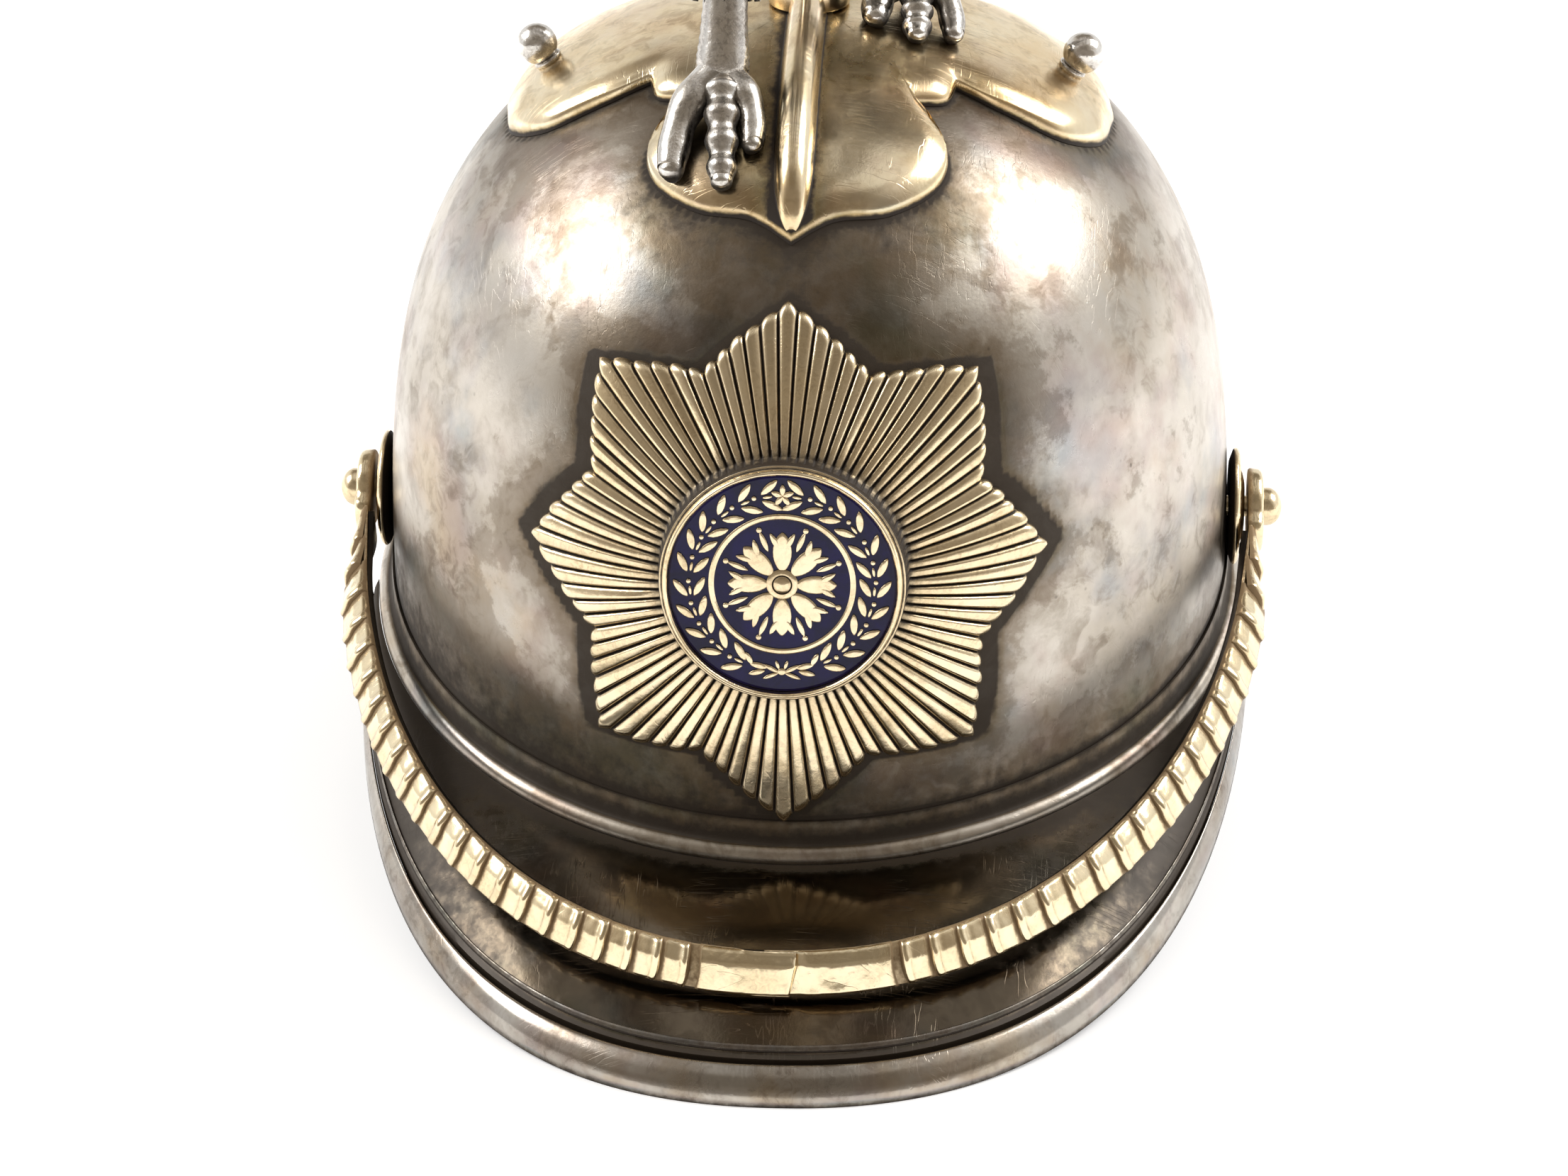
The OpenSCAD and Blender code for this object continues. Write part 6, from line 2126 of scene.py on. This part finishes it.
@dataclass
class Eagle:
    """The eagle with two heads and its crown, and the stud that it stands on."""

    form: HelmetForm
    body_low: Point = (0, 0.8, 11.5)
    body_high: Point = (0, -2.4, 36)
    body_radius: float = 7.2
    shoulder: Point = (5, 0.4, 29.5)
    wrist: Point = (13.5, 0.8, 41.5)
    wing_spread: float = 29.0
    wing_feathers: int = 8
    arm_feathers: int = 5
    tail_root: Point = (0, 4.9, 16)
    tail_feathers: int = 5
    neck_low: Point = (2.2, -1.8, 30)
    neck_high: Point = (5.2, -2.2, 41.5)
    neck_bend: Point = (0.9, 0.2, -0.6)
    head_radius: float = 2.8
    legs: tuple[Leg, ...] = (
        Leg("left", (-4, -2.6, 20), (-5, -9.4, 13), (-5.4, -14.4), ((-3.3, -6), (0.4, -7.5), (2.4, -5), (0.2, 4))),
        Leg("right", (4, -0.6, 20), (6.6, 1.4, 12.5), (7.8, 1), ((-2.8, -5), (0.3, -6.6), (2.9, -5.4), (0.2, 4))))
    ankle: float = 2.6
    skirt: float = 0.41
    height: float = 55.0
    stud_size: float = 2.2

    def __post_init__(self) -> None:
        """Places the eagle over the boss."""
        self.foot = self.form.apex + self.form.crest_top + 0.05

    def _up(self, *points: Point) -> list[Array]:
        """Points of the eagle in the helmet's frame."""
        return [np.asarray(p, float) + (0, 0, self.foot) for p in points]

    def _on_plate(self, x: float, y: float, lift: float) -> Array:
        """Point over the crest plate."""
        return np.array([x, y, float(self.form.over(x, y, self.form.crest_top)) + lift])

    def _barrel(self, count: int) -> Array:
        """Profile of the torso: radii, and heights as a share of its length."""
        a = np.linspace(0, np.pi, count)
        return np.stack([self.body_radius * np.sin(a) * (1 - 0.12 * np.cos(a)), (1 - np.cos(a)) / 2], -1)

    def torso(self) -> Shape:
        """Builds the torso under its feathers.

        Returns:
            The shape.
        """
        low, high = self._up(self.body_low, self.body_high)
        line = self._barrel(40) * (1, np.linalg.norm(high - low))
        return Shape("torso").lathe(line, frame_along(low, high, (1, 0, 0)), 64, np.full(len(line), 0.45))

    def _rows(self, low: Array, high: Array, radius: Row, pitch: float, wide: float, tilt: float,
              keep: Row = (0, 1)) -> tuple[list[Array], list[float]]:
        """Places feathers in rows round a turned form, tips down.

        Args:
            low: lower end of its axis.
            high: upper end of its axis.
            radius: radii at even steps from the lower end to the upper one.
            pitch: distance between rows.
            wide: distance between feathers in a row.
            tilt: lift of the tips in degrees.
            keep: shares of the axis between which feathers are laid.

        Returns:
            The frames and the sizes.
        """
        axis = high - low
        long, m = float(np.linalg.norm(axis)), frame_along(low, high, (1, 0, 0))
        frames, sizes, rng = [], [], np.random.default_rng(len(radius) * 7 + 3)
        steps, fine = np.linspace(0, 1, len(radius)), np.linspace(*keep, 300)
        run = runs(np.stack([fine * long, np.interp(fine, steps, radius)], -1))
        for k, f in enumerate(np.interp(np.arange(0, run[-1], pitch), run, fine)):
            below, r, above = np.interp((f - 0.02, f, f + 0.02), steps, radius)
            count = max(5, int(2 * np.pi * r / wide))
            for i in range(count):
                a = 2 * np.pi * (i + 0.5 * (k % 2)) / count + rng.uniform(-0.06, 0.06)
                out = m[:3, 0] * math.cos(a) + m[:3, 1] * math.sin(a)
                down = -unit(m[:3, 2] + (above - below) / (0.04 * long) * out)
                up = unit(out - down * np.dot(down, out))
                t = math.radians(tilt + rng.uniform(-3, 3))
                frames.append(axes(down * math.cos(t) + up * math.sin(t), up * math.cos(t) - down * math.sin(t),
                                   low + axis * f + out * (r - 0.12)))
                sizes.append(float(rng.uniform(0.9, 1.1)) * min(1.0, 0.55 + r / 7))
        return frames, sizes

    def torso_feathers(self, feathering: Feathering) -> Mesh:
        """Lays the torso's feathers.

        Args:
            feathering: what lays them.

        Returns:
            The mesh.
        """
        radius, along = self._barrel(60).T
        radius = np.interp(np.linspace(0, 1, 60), along, radius)
        rows = self._rows(*self._up(self.body_low, self.body_high), radius, 1.9, 1.9, 6, (0.04, 0.995))
        return feathering.cover("torso_feathers", *rows, (4.2, 2.5, 1.5))

    def wing(self) -> Shape:
        """Builds the right wing's arm and long feathers.

        Returns:
            The shape.
        """
        shape, (shoulder, wrist) = Shape("wing_right"), self._up(self.shoulder, self.wrist)
        reach, arm = self.wing_spread - wrist[0], shoulder - wrist
        path = [knots(shoulder, (-2.4, 0, -2.5, 1.7), (0, 0, 0, 2.1)), knots(wrist + arm / 2, (0.7, 0, -0.6, 1.8)),
                knots(wrist, (0, 0, 0, 1.5), (0.9, 0, 1.0, 0.5))]
        shape.limb(np.vstack(path), 32, 10, 0.8, (0, 1, 0))
        for k in range(self.wing_feathers):
            f = k / (self.wing_feathers - 1)
            shape.feather(wrist + (0, 0.12 * k, 0), 66 - 128 * f, reach * (1 + 0.22 * f), 3.9, 1.1)
        for k in range(self.arm_feathers):
            f = (k + 0.5) / self.arm_feathers
            shape.feather(wrist + arm * f + (0, 0.9 + 0.1 * k, 0), -66 - 14 * f, 17 - 4 * f, 4.1, 1.1)
        for k in range(self.arm_feathers):
            f = (k + 0.3) / self.arm_feathers
            shape.feather(wrist + arm * f + (0, -0.75, 0), -40 - 32 * f, 7, 3.5, 0.8)
        return shape

    def wing_cover(self, feathering: Feathering, side: Side) -> Mesh:
        """Lays the small feathers on both faces of a wing's arm.

        Args:
            feathering: what lays them.
            side: which side.

        Returns:
            The mesh.
        """
        (shoulder, wrist), turned, frames = self._up(self.shoulder, self.wrist), (side.value, 1, 1), []
        for back, row, k in np.ndindex(2, 4, 9):
            face, f = 2 * back - 1, (k + 0.5 * (row % 2)) / 8.5
            angle = math.radians(-18 - 55 * f)
            way = np.array([math.cos(angle), 0, math.sin(angle)])
            x = unit(way * turned + (0, 0.16 * face, 0))
            at = wrist + (shoulder - wrist) * f + way * (row * 1.35 - 1.2) + (0, face * (1.45 - 0.16 * row), 0)
            frames.append(axes(x, unit((0, face, 0) - x * x[1] * face), at * turned))
        return feathering.cover(f"wing_cover_{side.name.lower()}", frames, [1.0] * len(frames), (3.4, 2.1, 1.2))

    def tail(self) -> Shape:
        """Builds the fan of tail feathers.

        Returns:
            The shape.
        """
        shape, (root,) = Shape("tail"), self._up(self.tail_root)
        spread = np.linspace(-0.5, 0.5, 2 * self.tail_feathers - 1)
        for f in spread[::2]:
            shape.feather(root + (0, 0.9 * abs(f), 0), -90 + 64 * f, 12 - 3.4 * abs(f), 3.8, 1.0)
        for f in spread[1::2]:
            shape.feather(root + (0, -0.55, 0.6), -90 + 50 * f, 7.5, 3.0, 0.7)
        return shape.limb(knots(root, (0, -1.6, 2.2, 1.2), (0, -0.6, 0.4, 1.9), (0, 0.1, -1.5, 0.9)))

    def head(self) -> Shape:
        """Builds the right neck, head and beak.

        Returns:
            The shape.
        """
        shape, r, (low, high) = Shape("head_right"), self.head_radius, self._up(self.neck_low, self.neck_high)
        path = [knots(low, (0, 0, 0, 3.2)), knots((low + high) / 2, (*self.neck_bend, 2.75)),
                knots(high, (-0.5, 0, -1.6, 2.2), (0, 0, 0, 2.3), (0.6, 0, 1.5, 1.4))]
        shape.limb(np.vstack(path), 36, 10, 1.0, (0, 1, 0))
        shape.ball(high, (r, r * 0.86, r * 0.9), 36)
        root = high + (r * 0.55, 0, 0.1)
        shape.limb(knots(root, *UPPER_BEAK), 28, 8, 0.85, (0, 1, 0))
        shape.limb(knots(root, *LOWER_BEAK), 24, 8, 0.7, (0, 1, 0))
        for s in (-r, r):
            shape.ball(high + (0.95, s * 0.74, 0.55), 0.5, 20)
            shape.limb(knots(high, (-0.6, s * 0.72, 1.15, 0.12), (0.7, s * 0.82, 1.3, 0.38),
                             (2.0, s * 0.55, 0.95, 0.14)), 16)
            shape.ball(root + (0.9, math.copysign(0.92, s), 0.25), (0.3, 0.12, 0.18), 14)
        return shape

    def neck_feathers(self, feathering: Feathering, side: Side) -> Mesh:
        """Lays the feathers of a neck, but none on the face.

        Args:
            feathering: what lays them.
            side: which side.

        Returns:
            The mesh.
        """
        low, high = self._up(self.neck_low, self.neck_high)
        frames, sizes = self._rows(low + (0.3, 0, 0), high + (-0.2, 0, 1.2), [3.3, 3.05, 2.85, 2.6, 2.45, 2.5, 2.3],
                                   1.3, 1.2, 6, (0.12, 0.97))
        neck, turned, kept = high - low, [], []
        for m, size in zip(frames, sizes):
            x, _, z = m[:3, 3] - high
            if x <= 0.4 or z <= -2.2:
                f = np.dot(m[:3, 3] - low, neck) / np.dot(neck, neck)
                m[:3, 3] += 4 * f * (1 - f) * np.array(self.neck_bend)
                turned.append(axes(*(m[:3, k] * (side.value, 1, 1) for k in (0, 2, 3))))
                kept.append(size)
        return feathering.cover(f"neck_feathers_{side.name.lower()}", turned, kept, (2.8, 1.6, 1.2))

    def crown(self) -> Shape:
        """Builds the crown: a band with pearls, eight arches and a ball on top.

        Returns:
            The shape.
        """
        shape, r = Shape("crown"), self.neck_high[0] * 0.9
        band = r * 0.8
        foot = self.foot + self.neck_high[2] + 0.05 + math.sqrt(self.head_radius**2 - (self.neck_high[0] - band) ** 2)
        h, centre = self.foot + self.height - foot, np.array([0, self.neck_high[1], foot])
        m = axes(at=centre)
        shape.lathe(rounded([[0.0, 0.02], [band - 0.1, 0.02], [band + 0.05, 0.18], [band - 0.02, 0.3],
                             [r * 0.83, h * 0.15], [r * 0.87, h * 0.17], [r * 0.85, h * 0.2], [r * 0.76, h * 0.21],
                             [r * 0.6, h * 0.24], [0.0, h * 0.26]], 0.1), m, 96)
        cap = rounded(np.array(CROWN_CAP) * (r, h), 0.5, 4)
        shape.lathe(cap, m, 64, np.full(len(cap), 0.55))
        arch = np.vstack([np.array(CROWN_ARCH) * (r, h, 1), (0.3, 0.735 * h, 0.3)])
        pearls = ((r - 0.3, 0.3, 0.33, 0), (1.03 * r - 0.3, 0.42, 0.33, 0), (0.93 * r - 0.3, 0.55, 0.33, 0),
                  (0.86 * r, 0.09, 0.36, math.pi / 8), (0.85 * r, 0.09, 0.5, 0))
        for a in circle(8):
            shape.limb(np.column_stack([centre + raised(polar(arch[:, 0], a), arch[:, 1]), arch[:, 2]]), 14, 6)
            for out, up, size, turn in pearls:
                shape.ball(centre + raised(polar(out, a + turn), h * up), size, 12)
        shape.lathe(rounded(np.array(CROWN_TOP) * (1, h), 0.1, 2), m, 32)
        return shape.ball(centre + (0, 0, h * 0.885), h * 0.108, 32)

    def leg(self, leg: Leg) -> Shape:
        """Builds a thigh, a scaly shank and a foot of four toes, the last one at the back.

        Args:
            leg: where the leg stands.

        Returns:
            The shape.
        """
        shape, (hip, hock) = Shape(f"leg_{leg.place}"), self._up(leg.hip, leg.hock)
        ankle = self._on_plate(*leg.foot, self.ankle)
        thigh, shank, way = hock - hip, ankle - hock, unit(hock - hip)
        shape.limb([[*(hip - way * 0.5), 2.6], [*(hip + thigh * 0.35), 3.1], [*(hip + thigh * 0.75), 2.5],
                    [*(hock + way * 0.8), 1.5]], 32, 10)
        path = [[*(hock + shank * f), r] for f, r in SHANK]
        shape.limb(path + [[*(ankle - (0, 0, 0.9)), 1.5]], 32, 10, 0.95, (0, -1, 0.25), 0.035, 0.75)
        for toe, (size, bend, swell, waves, count) in zip(leg.toes, TOES):
            tip = self._on_plate(leg.foot[0] + toe[0], leg.foot[1] + toe[1], 0.72)
            flat = np.array([*toe, 0]) / np.hypot(*toe)
            start, f = ankle + flat * 0.5 - (0, 0, 0.3), np.linspace(0, 1, count)[:, None]
            p = start + (tip - start) * f + np.sin(np.pi * f) * bend * (flat[1], -flat[0], 0)
            p[:, 2:] += 0.55 * np.sin(np.pi * np.minimum(1, f * 1.25)) * (1 - 0.4 * f)
            thick = size * (1.26 - 0.36 * f**1.4) * (1 + swell * np.cos(2 * np.pi * waves * f))
            claw = [[*(tip + flat * out - (0, 0, down)), size * share] for out, down, share in CLAW]
            claw.append([*(tip + flat * 0.64 - (0, 0, 0.3)), 0.05])
            shape.limb(np.vstack([np.hstack([p, thick]), claw]), 24, 4, recess=0.85)
        return shape

    def thigh_feathers(self, feathering: Feathering, leg: Leg) -> Mesh:
        """Lays the long feathers of a thigh and of the upper shank.

        Args:
            feathering: what lays them.
            leg: where the leg stands.

        Returns:
            The mesh.
        """
        hip, hock = self._up(leg.hip, leg.hock)
        low = hock + (self._on_plate(*leg.foot, self.ankle) - hock) * self.skirt
        thigh = self._rows(hock - (hip - hock) * 0.06, hip, [2.5, 2.8, 3.1, 3.2, 2.9], 1.7, 1.5, 7, (0.02, 0.95))
        shank = self._rows(low, hock, [2.0, 2.2, 2.1], 1.6, 1.4, 9)
        rows = (a + b for a, b in zip(thigh, shank))
        return feathering.cover(f"thigh_feathers_{leg.place}", *rows, (4.0, 2.0, 1.3))

    def stud(self) -> Shape:
        """Builds the stud through the boss and the skull.

        Returns:
            The shape.
        """
        r, top, nut = self.stud_size / 2, self.foot + 2.3, self.form.apex - self.form.wall - 0.4
        line = [[0.0, nut - 2.6], [r - 0.2, nut - 2.6], [r, nut - 2.3], [r, top + 0.05], [r + 0.9, top + 0.05],
                [r + 0.9, top + 0.5], [r + 0.35, top + 1.2], [r + 0.3, self.foot + 14.5], [0.0, self.foot + 14.5]]
        return Shape("stud").lathe(rounded(line, 0.12), axes(), 48)

    def nut(self) -> Shape:
        """Builds the six-sided nut inside the skull.

        Returns:
            The shape.
        """
        top, a, r = self.form.apex - self.form.wall - 0.4, circle(72), self.stud_size * 1.15
        six = r * math.cos(math.pi / 6) / np.cos((a + np.pi / 6) % (np.pi / 3) - np.pi / 6)
        rings = [(np.minimum(six, r - cut), z) for cut, z in ((0.25, -1.8), (0, -1.62), (0, -0.18), (0.25, 0))]
        rings += [(self.stud_size / 2 + 0.05, z) for z in (0, -1.8)]
        return Shape("nut").tube(np.stack([raised(polar(radius, a), top + z) for radius, z in rings]), True)

    def dress(self, dress: Dress) -> None:
        """Places the eagle.

        Args:
            dress: what takes the pieces.
        """
        feathering = Feathering(dress.finishes[Finish.CAST])
        dress.piece(self.torso().mesh(), Finish.CAST, "eagle_body")
        dress.piece(self.torso_feathers(feathering), Finish.CAST)
        for shape in (self.wing(), self.head()):
            other = shape.mirrored(shape.name.replace("right", "left"))
            for each in (shape, other):
                dress.piece(each.mesh(), Finish.CAST, f"eagle_{each.name}")
        for side in (Side.RIGHT, Side.LEFT):
            dress.piece(self.wing_cover(feathering, side), Finish.CAST)
            dress.piece(self.neck_feathers(feathering, side), Finish.CAST)
        dress.piece(self.tail().mesh(), Finish.CAST, "eagle_tail")
        dress.piece(self.crown().mesh(), Finish.GILT, "eagle_crown")
        for leg in self.legs:
            dress.piece(self.leg(leg).mesh(), Finish.CAST, f"eagle_leg_{leg.place}")
            dress.piece(self.thigh_feathers(feathering, leg), Finish.CAST)
        dress.piece(self.stud().mesh(), Finish.CAST, "eagle_stud")
        dress.piece(self.nut().mesh(), Finish.CAST, "eagle_nut")


@dataclass
class Studio:
    """The camera, the pale floor and the soft light."""

    camera_at: Point = (18.03, -338.44, 184.71)
    look_at: Point = (-1.35, -11.5, 18.0)
    roll: float = -0.22
    lens: float = 112.26
    boxes: tuple[tuple[float, float, float, float], ...] = ((-92, 38, 0.3, 2.2), (105, 42, 0.3, 2.6))
    box_distance: float = 0.62
    window: Point = (0.087, 0.052, 0.165)
    floor_reach: float = 4.0

    def camera(self) -> None:
        """Places the camera."""
        data = bpy.data.cameras.new("camera")
        data.lens, data.sensor_width, data.sensor_fit = self.lens, 36.0, "HORIZONTAL"
        data.clip_start, data.clip_end = 0.01, 20.0
        at, to = Vector(self.camera_at) * MM, Vector(self.look_at) * MM
        made = bpy.context.scene.camera = linked("camera", data)
        made.matrix_world = (Matrix.Translation(at) @ (to - at).to_track_quat("-Z", "Y").to_matrix().to_4x4()
                             @ Matrix.Rotation(math.radians(self.roll), 4, "Z"))

    def floor(self) -> None:
        """Lays the white floor, which shows white and keeps the shadow."""
        data, s = bpy.data.meshes.new("floor"), self.floor_reach
        data.from_pydata([(-s, -s, 0), (s, -s, 0), (s, s, 0), (-s, s, 0)], [], [(0, 1, 2, 3)])
        finish = bpy.data.materials.new("White table")
        t = Tree.blank(finish)
        rays = t.node("ShaderNodeLightPath").outputs
        seen = t.math("MAXIMUM", rays["Is Camera Ray"], rays["Is Glossy Ray"])
        far = t.vector("LENGTH", t.node("ShaderNodeTexCoord").outputs["Object"])
        shader = t.node("ShaderNodeBsdfPrincipled", {
            "Base Color": (0.86, 0.86, 0.86), "Roughness": 0.6, "Emission Color": (1, 1, 1),
            "Emission Strength": t.times(seen, t.span(far, 0.12, 0.6, 0.4, 1.0))})
        t.node("ShaderNodeOutputMaterial", {"Surface": shader.outputs[0]})
        data.materials.append(finish)
        linked("floor", data)

    def world(self) -> None:
        """Makes the surroundings: darker in front and above, pale at the sides and behind."""
        made = bpy.context.scene.world = bpy.data.worlds.new("studio")
        t = Tree.blank(made)
        middle, inner, outer = self.window
        x, y, z = t.parts(t.vector("NORMALIZE", t.node("ShaderNodeTexCoord").outputs["Generated"]))
        front = t.span(t.times(y, -1.0), 0.0, 0.65)
        beside = t.span(t.math("ABSOLUTE", x), 0.3, 0.65, 1.0, 0.25)
        high = t.times(t.span(z, 0.42, 0.62), beside)
        across = t.math("ABSOLUTE", t.plus(x, middle))
        strip = t.times(t.span(across, inner, inner + 0.02), t.span(across, outer, outer + 0.02, 1.0, 0.0))
        strip = t.math("MAXIMUM", strip, t.span(across, outer + 0.09, outer + 0.13))
        strip = t.times(strip, t.span(z, 0.84, 0.9))
        shade = t.math("MAXIMUM", t.times(front, 0.9), t.times(high, t.span(strip, 0.0, 1.0, 1.0, 0.2, False)))
        seen = t.node("ShaderNodeLightPath").outputs["Is Camera Ray"]
        back = t.node("ShaderNodeBackground", {
            "Color": t.mix(t.times(shade, t.minus(1.0, seen)), (1.0, 1.0, 1.0), (1.0, 0.86, 0.7)),
            "Strength": t.math("MAXIMUM", t.span(shade, 0.0, 1.0, 0.9, 0.22, False), seen)})
        t.node("ShaderNodeOutputWorld", {"Surface": back.outputs[0]})

    def lamps(self) -> None:
        """Hangs the two soft boxes."""
        for k, (azimuth, height, size, power) in enumerate(self.boxes):
            data = bpy.data.lights.new(f"soft_box_{k}", "AREA")
            data.shape, data.size, data.energy = "SQUARE", size, power
            a, e = math.radians(azimuth), math.radians(height)
            way = Vector((math.sin(a) * math.cos(e), -math.cos(a) * math.cos(e), math.sin(e)))
            at = Matrix.Translation(way * self.box_distance + Vector((0, 0, 0.03)))
            linked(data.name, data).matrix_world = at @ way.to_track_quat("Z", "Y").to_matrix().to_4x4()

    def build(self) -> None:
        """Builds the studio."""
        bpy.context.scene.view_settings.view_transform = "Standard"
        self.camera()
        self.floor()
        self.world()
        self.lamps()


def main() -> None:
    """Builds the helmet piece by piece and lights it."""
    logging.basicConfig(level=logging.INFO, format="%(name)s: %(message)s")
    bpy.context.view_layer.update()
    Studio().build()
    effects, form = Effects(), HelmetForm()
    dress = Dress({finish: finish.value.material(effects) for finish in Finish})
    for part in (Skull, Brims, Crest, Star, Badge, ChinBow, Eagle):
        part(form).dress(dress)
    dress.leave_to_solids()


if __name__ == "__main__":
    main()
